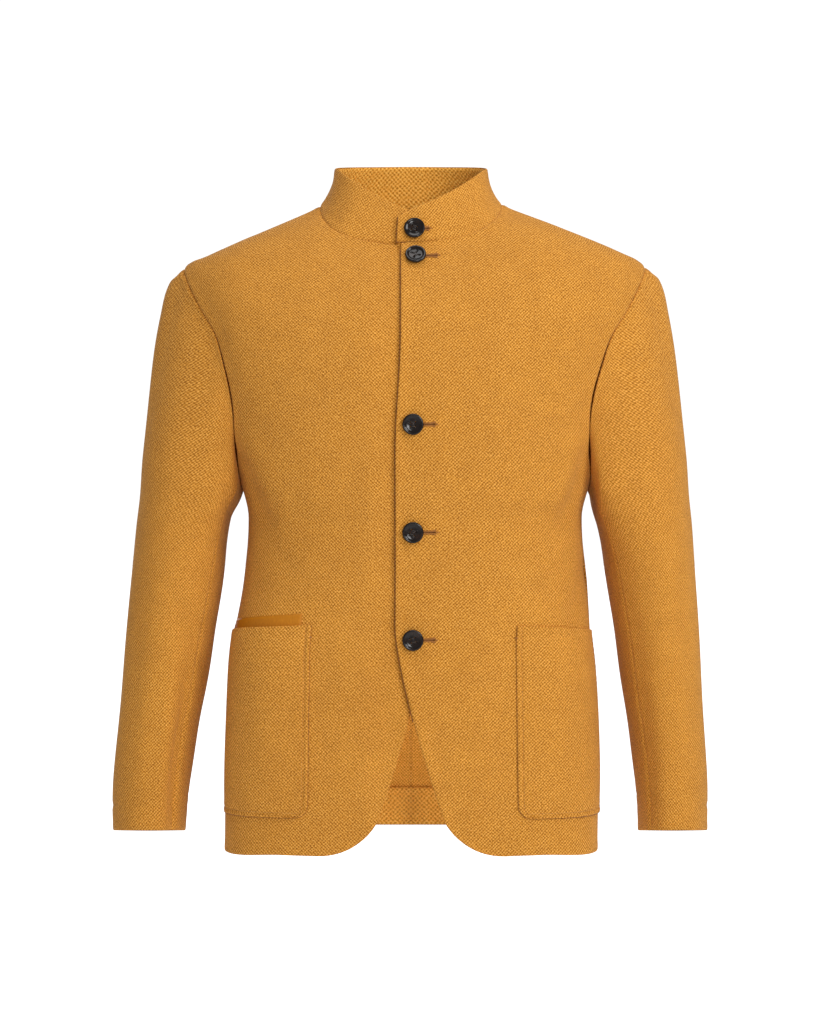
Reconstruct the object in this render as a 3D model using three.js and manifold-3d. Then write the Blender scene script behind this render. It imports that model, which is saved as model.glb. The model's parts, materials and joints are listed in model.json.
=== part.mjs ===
// A wool jacket with a band collar, five buttons and two patch pockets, in millimetres, +Z up.
// The wearer faces -Y and the wearer's left is +X. While the jacket is being drawn, z is counted from the hem
// and y from the side seams; the last lines move the origin to the hanger loop inside the back of the neck.
import * as THREE from "three";
import { mergeVertices } from "three/addons/utils/BufferGeometryUtils.js";
import Module from "manifold-3d";

const wasm = await Module();
wasm.setup();

// ---- driving dimensions ----
const ROUNDNESS = 2.5; // exponent of the chest's horizontal sections: 2 is an ellipse
const HEM_ROUNDNESS = 3.4; // the skirt is boxier
const NECK_HALF = 102; // half width of the collar seam
const NECK_Z = 718; // height of the side neck point
const NECK_FRONT_Z = 667;
const NECK_BACK_RISE = 9;
const TIP_Z = 643; // shoulder tip, where the shoulder seam meets the sleeve
const ARMPIT_Z = 391;
const ARMHOLE_MID_Z = (TIP_Z + ARMPIT_Z) / 2;
const ARMHOLE_HALF_Z = (TIP_Z - ARMPIT_Z) / 2;
const ARMHOLE_HALF_Y = 75;
const CUFF_Z = 14;
const CUFF_RISE = 8.4; // the cuff is that much higher in front than at its sides, as the arm hangs forward
const COLLAR_TOP_HALF = 86;
const COLLAR_FRONT_TOP_Z = 705;
const COLLAR_SIDE_TOP_Z = 759;
const COLLAR_BACK_RISE = 9;
const CLOTH = 1.6; // thickness of the outer cloth with its seam allowances pressed in
const CANVAS = 0.7;
const FACING = 1.1;
const GAP = 0.35; // air between neighbouring layers
const INNER_GAP = 1.6; // below the outer cloth, room for the difference between two coarse curves
const UNDERLAP = 6; // how far the under front lies below the over front at the buttons
const PLACKET_X = -17; // the over front's edge, past the centre line
const PLACKET_SWING = 6; // how far that edge swings back towards the centre line on the chest
const CUTAWAY_Z = 245; // where the front edge starts to curve away
const CORNER_Z = 42; // where the rounded front corner starts
const HEM_DEPTH = 40;
const BUTTON_R = 11.5;
const BUTTON_THICK = 4.2;
const HOLE_R = 1.15; // sewing holes
const HOLE_PITCH = 2.3; // from the button's centre to each hole, along x and along z
const SHANK_R = 1.5;
const SLOT_HALF = 2.1; // half width of the cut buttonhole
const LOOP_Z = 722;
const LOOP_HALF = 32;
const LOOP_BOW = 16;

// Half sizes of the body at heights above the hem: [z, half width, half depth in front, half depth behind].
// From the armpit to the shoulder tip the width is that of the full section, which the armhole then trims.
const BODY = [
  [0, 210, 108, 128],
  [100, 210, 112, 124],
  [200, 206, 113, 117],
  [290, 194, 114, 113],
  [363, 187, 117, 113],
  [391, 195, 119, 117],
  [437, 211, 122, 122],
  [489, 225, 124, 126],
  [533, 239, 124, 127],
  [569, 249, 120, 125],
  [594, 260, 114, 121],
  [623, 266, 103, 115],
  [643, 262, 92, 109],
  [657, 246, 83, 104],
  [690, 168, 58, 90],
  [718, 102, 20, 70],
  [732, 74, 10, 56],
];

// The sleeve's outline seen from the front, and its half depth: [z, outer x, inner x, half depth].
const SLEEVE = [
  [14, 334, 257, 56],
  [75, 334, 253, 58],
  [181, 328, 238, 63],
  [302, 321, 220, 69],
  [355, 317, 211, 72],
  [391, 313, 196, 75],
  [439, 310, 196, 77],
  [525, 301, 204, 79],
  [593, 291, 225, 74],
  [632, 280, 245, 58],
  [643, 262, 258, 40],
];

const BUTTONS = [
  { place: "collar", x: 4, z: 676 },
  { place: "front", x: 5, z: 650.5 },
  { place: "front", x: 2, z: 466 },
  { place: "front", x: 2, z: 350 },
  { place: "front", x: 2, z: 234 },
];

const COLOURS = {
  cloth: 0xcd8c32,
  reverse: 0xb97c2e,
  satin: 0xae6e1e,
  canvas: 0xd9cdb4,
  padding: 0xe6e0d2,
  horn: 0x2a1710,
  thread: 0x8a4a22,
  buttonThread: 0xb08a5a,
};
const ROUGH = { cloth: 0.9, reverse: 0.92, satin: 0.45, canvas: 0.95, padding: 1, horn: 0.25, thread: 0.7 };

const jacket = new THREE.Group();
const radians = THREE.MathUtils.degToRad;
const clamp01 = (t) => Math.min(1, Math.max(0, t));
const smooth = (t) => clamp01(t) ** 2 * (3 - 2 * clamp01(t));
const lerp = THREE.MathUtils.lerp;

// A smooth curve through table rows [key, value, ...], read at a key, column by column.
function tableAt(table, key, column) {
  let i = 0;
  while (i < table.length - 2 && key > table[i + 1][0]) i += 1;
  const slope = (k) => {
    const low = Math.max(0, k - 1);
    const high = Math.min(table.length - 1, k + 1);
    return (table[high][column] - table[low][column]) / (table[high][0] - table[low][0]);
  };
  const span = table[i + 1][0] - table[i][0];
  const t = (key - table[i][0]) / span;
  const [p, q] = [table[i][column], table[i + 1][column]];
  const [m, n] = [slope(i) * span, slope(i + 1) * span];
  const [t2, t3] = [t ** 2, t ** 3];
  return (2 * t3 - 3 * t2 + 1) * p + (t3 - 2 * t2 + t) * m + (3 * t2 - 2 * t3) * q + (t3 - t2) * n;
}

// ---- the body's surface ----
// theta is 0 at the side, 90 at the centre front and -90 at the centre back, in degrees.
const roundness = (z) => lerp(HEM_ROUNDNESS, ROUNDNESS, smooth(z / ARMPIT_Z));

function bodyPoint(theta, z) {
  const [c, s] = [Math.cos(radians(theta)), Math.sin(radians(theta))];
  const power = 2 / roundness(z);
  const depth = tableAt(BODY, z, s > 0 ? 2 : 3);
  return new THREE.Vector3(
    tableAt(BODY, z, 1) * Math.sign(c) * Math.abs(c) ** power,
    -Math.sign(s) * depth * Math.abs(s) ** power,
    z,
  );
}

// Adds the outward normal to a surface given as a function of two parameters, by small steps along each.
function withNormal(surface, u, v, du, dv) {
  const across = surface(u + du, v).sub(surface(u - du, v));
  const along = surface(u, v + dv).sub(surface(u, v - dv));
  return { point: surface(u, v), normal: along.cross(across).normalize() };
}

const body = (theta, z) => withNormal(bodyPoint, theta, z, 1.5, 1.5);

// The angle at which the body's section at height z reaches x, on the front half.
function thetaAt(x, z) {
  const share = Math.min(1, Math.abs(x) / tableAt(BODY, z, 1));
  const theta = THREE.MathUtils.radToDeg(Math.acos(share ** (roundness(z) / 2)));
  return x < 0 ? 180 - theta : theta;
}

// The armhole at angle alpha, 0 at the shoulder tip and 180 at the armpit: its height and the body's angle.
function armhole(alpha) {
  const z = ARMHOLE_MID_Z + ARMHOLE_HALF_Z * Math.cos(radians(alpha));
  const y = ARMHOLE_HALF_Y * Math.abs(Math.sin(radians(alpha)));
  const front = alpha >= 0;
  const depth = tableAt(BODY, z, front ? 2 : 3);
  const theta = THREE.MathUtils.radToDeg(Math.asin(Math.min(1, y / depth) ** (ROUNDNESS / 2)));
  return { z, theta: front ? theta : -theta };
}

// The collar seam at angle phi, 90 at the centre front, 0 at the side and -90 at the centre back.
function neckline(phi) {
  const s = Math.sin(radians(phi));
  const x = NECK_HALF * Math.cos(radians(phi));
  const rise = (NECK_Z - NECK_FRONT_Z) * (1 - Math.abs(s)) ** 1.2;
  const z = s > 0 ? NECK_FRONT_Z + rise : NECK_Z + NECK_BACK_RISE * s * s;
  const theta = thetaAt(x, z);
  return { z, theta: s > 0 ? theta : -theta };
}

// The x of the over front's free edge at height z. From the collar down it swings in, runs straight, is cut away
// and ends in a rounded corner.
function frontEdge(z) {
  const swing = PLACKET_SWING * smooth((z - 430) / 140);
  const away = (h) => PLACKET_X + swing + 52 * clamp01((CUTAWAY_Z - h) / 205) ** 1.35;
  if (z >= CORNER_Z) return away(z);
  return away(CORNER_Z) + 66 * (1 - (z / CORNER_Z) ** 0.5) ** 1.25;
}

// ---- solids from surfaces ----
// A sheet of cloth: at(u, v) for u and v from 0 to 1 gives { point, normal }. It is lifted along the normal and
// has its thickness below that. A closed sheet joins u = 1 to u = 0. lift and thickness may be functions.
function sheet(at, cols, rows, thickness, lift = 0, closed = false, mirror = false) {
  const value = (f, u, v) => (typeof f === "function" ? f(u, v) : f);
  const wide = closed ? cols : cols + 1;
  const [outer, inner] = [[], []];
  for (let j = 0; j <= rows; j++)
    for (let i = 0; i < wide; i++) {
      const { point, normal } = at(i / cols, j / rows);
      const up = value(lift, i / cols, j / rows);
      outer.push(point.clone().addScaledVector(normal, up));
      inner.push(point.clone().addScaledVector(normal, up - value(thickness, i / cols, j / rows)));
    }
  const points = [...outer, ...inner];
  if (mirror) points.forEach((p) => (p.x = -p.x));
  const faces = [];
  const quad = (a, b, c, d) => faces.push(a, b, c, a, c, d);
  const id = (i, j) => j * wide + (i % wide);
  const deep = outer.length;
  for (let j = 0; j < rows; j++)
    for (let i = 0; i < cols; i++) {
      quad(id(i, j), id(i + 1, j), id(i + 1, j + 1), id(i, j + 1));
      quad(deep + id(i, j), deep + id(i, j + 1), deep + id(i + 1, j + 1), deep + id(i + 1, j));
    }
  for (let i = 0; i < cols; i++) {
    quad(deep + id(i, 0), deep + id(i + 1, 0), id(i + 1, 0), id(i, 0));
    quad(id(i, rows), id(i + 1, rows), deep + id(i + 1, rows), deep + id(i, rows));
  }
  if (!closed)
    for (let j = 0; j < rows; j++) {
      quad(id(0, j), id(0, j + 1), deep + id(0, j + 1), deep + id(0, j));
      quad(deep + id(cols, j), deep + id(cols, j + 1), id(cols, j + 1), id(cols, j));
    }
  return solid(points, faces);
}

// A manifold solid from points and triangle corners, turned to face out.
function solid(points, faces) {
  let volume = 0;
  for (let i = 0; i < faces.length; i += 3) {
    const [a, b, c] = [points[faces[i]], points[faces[i + 1]], points[faces[i + 2]]];
    volume += a.dot(b.clone().cross(c));
  }
  if (volume < 0) faces.reverse();
  return new wasm.Manifold(
    new wasm.Mesh({
      numProp: 3,
      vertProperties: new Float32Array(points.flatMap((p) => p.toArray())),
      triVerts: new Uint32Array(faces),
    }),
  );
}

// A manifold solid from a three.js geometry, placed by a matrix.
function solidOf(geometry, matrix) {
  const bare = geometry.clone().applyMatrix4(matrix);
  bare.deleteAttribute("normal");
  bare.deleteAttribute("uv");
  const merged = mergeVertices(bare, 1e-3);
  return new wasm.Manifold(
    new wasm.Mesh({
      numProp: 3,
      vertProperties: merged.attributes.position.array,
      triVerts: new Uint32Array(merged.index.array),
    }),
  );
}

function add(name, made, colour) {
  const mesh = made.getMesh();
  const geometry = new THREE.BufferGeometry();
  geometry.setAttribute("position", new THREE.BufferAttribute(new Float32Array(mesh.vertProperties), 3));
  geometry.setIndex(new THREE.BufferAttribute(new Uint32Array(mesh.triVerts), 1));
  geometry.computeVertexNormals();
  const finish = { color: COLOURS[colour], roughness: ROUGH[colour] ?? 0.9 };
  const item = new THREE.Mesh(geometry, new THREE.MeshStandardMaterial(finish));
  item.name = name;
  jacket.add(item);
}

// ---- fronts, facings and canvases ----
// Rows of the front run level up to the armpit; above it they turn until the last one is the shoulder seam,
// and they lie closer together as they near it, because the shoulder is tightly curved there.
const LOWER_ROWS = [0, 0.006, 0.02, 0.05, 0.1, 0.2, 0.34, 0.5, 0.66, 0.83, 1].map((s) => s * ARMPIT_Z);
const UPPER_ROWS = 11;
const FRONT_ROWS = LOWER_ROWS.length - 1 + UPPER_ROWS;
const FRONT_COLS = 12;
const towardsRidge = (t) => 1 - (1 - t) ** 1.4;
const NECK_SHARE = 0.74; // share of the upper rows that start on the front edge and not on the collar seam

function upperLimits(s, inner) {
  const arm = armhole(180 * (1 - s));
  if (s < NECK_SHARE) return [inner(lerp(ARMPIT_Z, NECK_FRONT_Z, s / NECK_SHARE)), arm];
  return [neckline(lerp(97, 0, (s - NECK_SHARE) / (1 - NECK_SHARE))), arm];
}

function frontAt(u, v) {
  const at = v * FRONT_ROWS;
  const lower = LOWER_ROWS.length - 1;
  const onEdge = (z) => ({ z, theta: thetaAt(frontEdge(z), z) });
  let limits;
  if (at <= lower) {
    const k = Math.min(lower - 1, Math.floor(at));
    const z = lerp(LOWER_ROWS[k], LOWER_ROWS[k + 1], at - k);
    limits = [onEdge(z), { z, theta: 0 }];
  } else limits = upperLimits(towardsRidge((at - lower) / UPPER_ROWS), onEdge);
  const [first, last] = limits;
  return { theta: lerp(first.theta, last.theta, u), z: lerp(first.z, last.z, u) };
}

// The front of one side. The under front sinks below the over front as it nears the centre.
const sink = (x) => UNDERLAP * smooth((60 - x) / 36);

function frontSurface(under) {
  return (u, v) => {
    const { theta, z } = frontAt(u, v);
    const { point, normal } = body(theta, z);
    if (under) point.addScaledVector(normal, -sink(point.x));
    point.y -= GAP;
    return { point, normal };
  };
}

// Part of a front, between two of its columns and two of its rows, so that its layers share their folds.
function frontLayer(under, cols, rows, thickness, lift) {
  const whole = frontSurface(under);
  const at = (u, v) => whole(lerp(...cols, u) / FRONT_COLS, lerp(...rows, v) / FRONT_ROWS);
  return sheet(at, cols[1] - cols[0], rows[1] - rows[0], thickness, lift, false, under);
}

// A tool that cuts the buttonhole through the over layers at a button's place.
function slotCutter(button, depth) {
  const length = button.place === "collar" ? 17 : 26;
  const shape = new THREE.Shape();
  shape.absarc(0, 0, SLOT_HALF, Math.PI / 2, 1.5 * Math.PI);
  shape.absarc(length, 0, SLOT_HALF, -Math.PI / 2, Math.PI / 2);
  const cut = new THREE.ExtrudeGeometry(shape, { depth: depth + 4, bevelEnabled: false, curveSegments: 4 });
  cut.translate(-SLOT_HALF, 0, -depth);
  return solidOf(cut, button.matrix);
}

// ---- the collar ----
// s from 0, the over end at the front, round the back of the neck to 1, the under end; h from 0, the seam, to
// 1, the top edge.
const COLLAR_START = 99;
const COLLAR_TURN = 378;

function collarPoint(s, h) {
  const phi = COLLAR_START - COLLAR_TURN * s;
  const folded = ((((phi + 90) % 360) + 360) % 360) - 90; // both sides of the neck share one seam
  const mirrored = folded > 90;
  const near = mirrored ? 180 - folded : folded;
  const seam = neckline(near);
  const base = bodyPoint(seam.theta, seam.z);
  const [c, back] = [Math.cos(radians(near)), Math.max(0, -Math.sin(radians(near)))];
  const front = Math.max(0, Math.sin(radians(near)));
  const edgeZ = lerp(COLLAR_FRONT_TOP_Z, COLLAR_SIDE_TOP_Z, front > 0 ? c : 1);
  const topZ = edgeZ + COLLAR_BACK_RISE * back * back;
  const top = new THREE.Vector3(COLLAR_TOP_HALF * c, -67 * front + 60 * back, topZ);
  // Past the centre the top edge keeps falling in the same straight line.
  const [rise, slope] = [COLLAR_FRONT_TOP_Z - NECK_FRONT_Z, COLLAR_SIDE_TOP_Z - COLLAR_FRONT_TOP_Z];
  const reach = phi > 90 || phi < -270 ? (rise - slope * c) / (rise + slope * c) : 1;
  const point = base.lerp(top, h * reach);
  if (mirrored) point.x = -point.x;
  return point;
}

const COLLAR_SINK = 6;
const COLLAR_CLEAR = 3; // room above the neckline's seam
function collar(low = 0, high = 1, start = 0, end = 1) {
  return (u, v) => {
    const s = lerp(start, end, u);
    const { point, normal } = withNormal(collarPoint, s, lerp(low, high, v), 0.004, 0.02);
    point.addScaledVector(normal.negate(), -COLLAR_SINK * smooth((s - 0.84) / 0.09));
    point.z += COLLAR_CLEAR;
    return { point, normal };
  };
}

// The collar's front where its seam is at x, as far up as z is between the seam and the top edge.
function onCollarAt(x, z) {
  const s = (COLLAR_START - THREE.MathUtils.radToDeg(Math.acos(x / NECK_HALF))) / COLLAR_TURN;
  return collar()(s, (z - NECK_FRONT_Z) / (COLLAR_FRONT_TOP_Z - NECK_FRONT_Z));
}

// ---- buttons ----
for (const button of BUTTONS) {
  let spot;
  if (button.place === "front") {
    spot = body(thetaAt(button.x, button.z), button.z);
    spot.point.y -= GAP;
  } else {
    spot = onCollarAt(button.x, button.z);
  }
  const sideways = new THREE.Vector3(1, 0, 0).addScaledVector(spot.normal, -spot.normal.x).normalize();
  const upward = spot.normal.clone().cross(sideways);
  button.matrix = new THREE.Matrix4().makeBasis(sideways, upward, spot.normal).setPosition(spot.point);
  button.spot = spot;
}

// The button's local frame has x along the buttonhole and z out of the cloth.
const BUTTON_LIFT = 2.9;
function buttonSolid(button) {
  const [r, t] = [BUTTON_R, BUTTON_THICK];
  const profile = [
    [0, 0], [r * 0.8, 0], [r, t * 0.5], [r * 0.93, t], [r * 0.78, t], [r * 0.6, t * 0.66], [0, t * 0.6],
  ].map(([x, y]) => new THREE.Vector2(x, y));
  const upright = new THREE.Matrix4().makeRotationX(Math.PI / 2);
  const local = new THREE.Matrix4().makeTranslation(0, 0, BUTTON_LIFT).multiply(upright);
  let made = solidOf(new THREE.LatheGeometry(profile, 16), button.matrix.clone().multiply(local));
  if (made.volume() < 0) throw new Error("the button's profile runs the wrong way");
  for (const [x, y] of holes()) made = made.subtract(rod(button, x, y, HOLE_R, -1, t + BUTTON_LIFT + 1));
  return made;
}

const holes = () => [-1, 1].flatMap((x) => [-1, 1].map((y) => [x * HOLE_PITCH, y * HOLE_PITCH]));

// A short rod along the button's axis, from one height over the cloth to another.
function rod(button, x, y, radius, low, high, sides = 5) {
  const stick = new THREE.CylinderGeometry(radius, radius, high - low, sides);
  stick.rotateX(Math.PI / 2).translate(x, y, (low + high) / 2);
  return solidOf(stick, button.matrix);
}

// Two bars of thread over the holes, a leg down each hole, and one wound shank through the buttonhole.
function threadSolid(button) {
  const [under, dish] = [BUTTON_LIFT - 1, BUTTON_LIFT + BUTTON_THICK * 0.64];
  const legR = HOLE_R - 0.35;
  const foot = 0.9 - (button.place === "collar" ? COLLAR_SINK : UNDERLAP);
  let made = rod(button, 0, 0, SHANK_R, foot, under);
  made = made.add(rod(button, 0, 0, HOLE_PITCH * 1.414 + legR, under - 0.1, BUTTON_LIFT - 0.35, 8));
  for (const [x, y] of holes()) made = made.add(rod(button, x, y, legR, BUTTON_LIFT - 0.6, dish + 0.8));
  for (const y of [-HOLE_PITCH, HOLE_PITCH]) {
    const bar = new THREE.CylinderGeometry(legR, legR, 2 * HOLE_PITCH + 0.8, 5);
    bar.rotateZ(Math.PI / 2).translate(0, y, dish + 0.9);
    made = made.add(solidOf(bar, button.matrix));
  }
  return made;
}

// The stitched rim of a buttonhole, a flat ring that lies on the cloth.
function buttonholeSolid(button) {
  const onCollar = button.place === "collar";
  const [length, rim] = [onCollar ? 13 : 22, 1.4];
  const at = (u, v) => {
    const a = 2 * Math.PI * (u + 0.03);
    const r = SLOT_HALF + 0.1 + rim * v;
    const [dx, dz] = [(Math.cos(a) > 0 ? length : 0) + r * Math.cos(a) - SLOT_HALF, r * Math.sin(a)];
    if (!onCollar) {
      const found = body(thetaAt(button.x + dx, button.z + dz), button.z + dz);
      found.point.y -= GAP;
      return found;
    }
    return onCollarAt(button.x + dx, button.z + dz);
  };
  return sheet(at, 14, 1, 0.6, 1.5, true);
}

// ---- build the fronts ----
const CANVAS_LIFT = -CLOTH - GAP;
const FACING_LIFT = CANVAS_LIFT - CANVAS - GAP;
for (const side of ["left", "right"]) {
  const under = side === "right";
  let front = frontLayer(under, [0, FRONT_COLS], [0, FRONT_ROWS], CLOTH, 0);
  let facing = frontLayer(under, [0, 3], [1, 16], FACING, FACING_LIFT);
  add(side + "_canvas", frontLayer(under, [2, 8], [8, 17], CANVAS, CANVAS_LIFT), "canvas");
  if (!under)
    for (const button of BUTTONS.filter((b) => b.place === "front")) {
      const cutter = slotCutter(button, UNDERLAP - 0.15);
      front = front.subtract(cutter);
      facing = facing.subtract(cutter);
    }
  add(side + "_front", front, "cloth");
  add(side + "_facing", facing, "reverse");
}

// ---- backs, joined by a seam down the centre ----
const BACK_ROWS = 19;
function backSurface(u, v) {
  const at = v * BACK_ROWS;
  const lower = 8;
  let [first, last] = [];
  if (at <= lower) {
    const z = (ARMPIT_Z * at) / lower;
    [first, last] = [{ z, theta: -90 }, { z, theta: 0 }];
  } else {
    const s = towardsRidge((at - lower) / (BACK_ROWS - lower));
    last = armhole(-180 * (1 - s));
    const collarSeam = 0.86;
    first =
      s < collarSeam
        ? { z: lerp(ARMPIT_Z, NECK_Z + NECK_BACK_RISE, s / collarSeam), theta: -90 }
        : neckline(lerp(-90, 0, (s - collarSeam) / (1 - collarSeam)));
    if (s >= 1) last = { z: TIP_Z, theta: 0 };
  }
  const found = body(lerp(first.theta, last.theta, u), lerp(first.z, last.z, u));
  found.point.y += GAP;
  found.point.x += GAP;
  return found;
}

const innerLift = -CLOTH - INNER_GAP;
for (const side of ["left", "right"]) {
  const mirror = side === "right";
  add(side + "_back", sheet(backSurface, 9, BACK_ROWS, CLOTH, 0, false, mirror), "cloth");
  const hemAt = (u, v) => {
    const found = body(lerp(-90, 42, u), lerp(2, HEM_DEPTH, v));
    found.point.x += GAP;
    return found;
  };
  add(side + "_hem_turnup", sheet(hemAt, 12, 1, FACING, innerLift, false, mirror), "reverse");
}
const neckFacingAt = (u, v) => {
  const phi = lerp(-12, -168, u);
  const near = phi < -90 ? -180 - phi : phi;
  const seam = neckline(near);
  const z = seam.z - lerp(2, 52, v) * (1 - 0.45 * Math.cos(radians(near)) ** 2);
  const x = NECK_HALF * Math.cos(radians(near)) * lerp(1, 1.15, v);
  const found = body(-thetaAt(x, z), z);
  found.point.y += GAP;
  if (phi < -90) {
    found.point.x = -found.point.x;
    found.normal.x = -found.normal.x;
  }
  return found;
};
add("back_neck_facing", sheet(neckFacingAt, 14, 3, FACING, innerLift - 2), "reverse");

// ---- collar: outer cloth, interlining and inner cloth ----
const collarButton = BUTTONS[0];
const collarCutter = slotCutter(collarButton, COLLAR_SINK - 0.4);
const collarLayers = [
  ["collar_outer", CLOTH, 0, "cloth", collar()],
  ["collar_interlining", CANVAS, CANVAS_LIFT, "canvas", collar(0.06, 0.95)],
  ["collar_inner", FACING, FACING_LIFT, "reverse", collar(0.02, 0.98)],
];
for (const [name, thickness, lift, colour, at] of collarLayers)
  add(name, sheet(at, 30, 1, thickness, lift).subtract(collarCutter), colour);

// ---- sleeves ----
// phi is 0 on the outer side, 90 at the front, 180 inside and -90 at the back; t is 0 at the armhole and 1 at
// the cuff.
function sleevePoint(phi, t) {
  const turned = ((((phi + 180) % 360) + 360) % 360) - 180;
  const [c, s] = [Math.cos(radians(turned)), Math.sin(radians(turned))];
  const tube = (z) => {
    const [out, inn, deep] = [1, 2, 3].map((k) => tableAt(SLEEVE, z, k));
    return new THREE.Vector3((out + inn) / 2 + ((out - inn) / 2) * c, -deep * s, z);
  };
  const start = armhole(turned);
  const onBody = bodyPoint(start.theta, start.z);
  const z = lerp(start.z, CUFF_Z + CUFF_RISE * s, t);
  const settle = (1 - smooth(t / 0.42)) * (1 - 0.35 * clamp01(t / 0.42));
  return tube(z).add(onBody.sub(tube(start.z)).multiplyScalar(settle));
}

const ARMHOLE_CLEAR = 2.6;
function sleeve(fromPhi, toPhi, fromT = 0, toT = 1, spread = 1) {
  return (u, v) => {
    const t = lerp(fromT, toT, v ** spread);
    const found = withNormal(sleevePoint, lerp(fromPhi, toPhi, u), Math.max(0.012, t), 3, 0.01);
    found.point.copy(sleevePoint(lerp(fromPhi, toPhi, u), t));
    found.normal.negate();
    found.point.x += ARMHOLE_CLEAR * (1 - smooth(t / 0.3));
    return found;
  };
}

const FORE_SEAM = 138;
const HIND_SEAM = -128;
const SEAM_STEP = 0.5; // degrees left open at each sleeve seam
const SLEEVE_COLS = 12;
const SLEEVE_ROWS = 10;
for (const side of ["left", "right"]) {
  const mirror = side === "right";
  const top = sleeve(HIND_SEAM + SEAM_STEP, FORE_SEAM - SEAM_STEP, 0, 1, 1.25);
  const below = sleeve(FORE_SEAM + SEAM_STEP, 360 + HIND_SEAM - SEAM_STEP, 0, 1, 1.25);
  add(side + "_top_sleeve", sheet(top, SLEEVE_COLS, SLEEVE_ROWS, CLOTH, 0, false, mirror), "cloth");
  add(side + "_under_sleeve", sheet(below, 5, SLEEVE_ROWS, CLOTH, 0, false, mirror), "cloth");
  const hem = sleeve(0, 360, 0.935, 0.997);
  add(side + "_cuff_hem", sheet(hem, 16, 2, FACING, innerLift, true, mirror), "reverse");
  const head = (u, v) => top(lerp(3, 9, u) / SLEEVE_COLS, v / SLEEVE_ROWS);
  add(side + "_sleeve_head", sheet(head, 6, 1, 3.2, CANVAS_LIFT, false, mirror), "padding");
}

// ---- shoulder pads ----
// A pad lies under the shoulder seam: u runs from the front over the seam to the back, v from neck to tip.
function padAt(u, v) {
  const across = lerp(1, -1, u);
  const ridge = tableAt([[0, 700], [1, TIP_Z + 4]], v, 1);
  const reach = lerp(26, 54, v) * (1 - 0.25 * v ** 6);
  const drop = 34 * Math.abs(across) ** 2.2 * lerp(0.5, 1, v);
  const z = ridge - drop;
  const depth = tableAt(BODY, z, across > 0 ? 2 : 3);
  const sine = Math.min(1, (Math.abs(across) * reach) / depth) ** (ROUNDNESS / 2);
  const theta = THREE.MathUtils.radToDeg(Math.asin(sine));
  return body(across > 0 ? theta : -theta, z);
}
for (const side of ["left", "right"]) {
  const thick = (u, v) => 1 + 8 * v * (1 - 0.85 * Math.abs(2 * u - 1) ** 2);
  const made = sheet(padAt, 8, 6, thick, -CLOTH - 3, false, side === "right");
  add(side + "_shoulder_pad", made, "padding");
}

// ---- patch pockets ----
const POCKETS = {
  left: { near: 113, top: 249, fall: 9, bottom: 40, gape: 10 },
  right: { near: 109, top: 250, fall: 10, bottom: 41, gape: 12 },
};
const POCKET_SIDE_THETA = 4;
function pocketAt(pocket) {
  return (u, v) => {
    const z = lerp(pocket.bottom, pocket.top - pocket.fall * u, v);
    const corner = 15 * clamp01(1 - (z - pocket.bottom) / 15) ** 2;
    const first = thetaAt(pocket.near + corner, z);
    return body(lerp(first, POCKET_SIDE_THETA, u), z);
  };
}
for (const side of ["left", "right"]) {
  const pocket = POCKETS[side];
  const mirror = side === "right";
  const crown = (u, v) => Math.sin(Math.PI * clamp01(u)) ** 0.8 * smooth(v / 0.12) * lerp(0.7, 1, v);
  const lift = (u, v) => CLOTH + 1.8 + pocket.gape * crown(u, v);
  add(side + "_pocket", sheet(pocketAt(pocket), 8, 8, CLOTH, lift, false, mirror), "cloth");
  const facingAt = (u, v) => {
    const top = pocket.top - pocket.fall * u;
    const z = lerp(top - 26, top + (mirror ? 12 : -2), v);
    return body(lerp(thetaAt(pocket.near + 4, z), POCKET_SIDE_THETA + 2, u), z);
  };
  add(side + "_pocket_facing", sheet(facingAt, 8, 1, 0.5, 1.3, false, mirror), "satin");
}

// ---- hanger loop: a narrow tape bowed away from the back neck ----
const neckBack = body(-90, LOOP_Z).point.y - CLOTH - FACING - INNER_GAP - 2;
const loopPath = new THREE.CatmullRomCurve3(
  [-1, -0.8, -0.4, 0, 0.4, 0.8, 1].map((s) => {
    const bow = LOOP_BOW * (1 - Math.abs(s) ** 2.2);
    return new THREE.Vector3(LOOP_HALF * s, neckBack - 4 - bow, LOOP_Z - 8 * (1 - s * s));
  }),
);
const tape = new THREE.Shape([
  new THREE.Vector2(-3.5, -0.6),
  new THREE.Vector2(3.5, -0.6),
  new THREE.Vector2(3.5, 0.6),
  new THREE.Vector2(-3.5, 0.6),
]);
const loop = new THREE.ExtrudeGeometry(tape, { steps: 18, extrudePath: loopPath, bevelEnabled: false });
add("hanger_loop", solidOf(loop, new THREE.Matrix4()), "satin");

// ---- fasteners ----
BUTTONS.forEach((button, i) => {
  add(`button_${i + 1}`, buttonSolid(button), "horn");
  add(`button_thread_${i + 1}`, threadSolid(button), "buttonThread");
  add(`buttonhole_${i + 1}`, buttonholeSolid(button), "thread");
});

// The origin is the middle of the hanger loop.
const origin = loopPath.getPoint(0.5);
jacket.position.copy(origin).negate();

export default jacket;
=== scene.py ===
"""A mustard wool jacket with a band collar, five horn buttons and two patch pockets, filled out as if worn.

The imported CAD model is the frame. While the cloth is being drawn, lengths are in millimetres, z is counted
from the hem and y from the side seams; place() turns them into the frame's metres.
"""

import json
import math

import bpy
import numpy as np
from mathutils import Matrix, Vector


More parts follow.
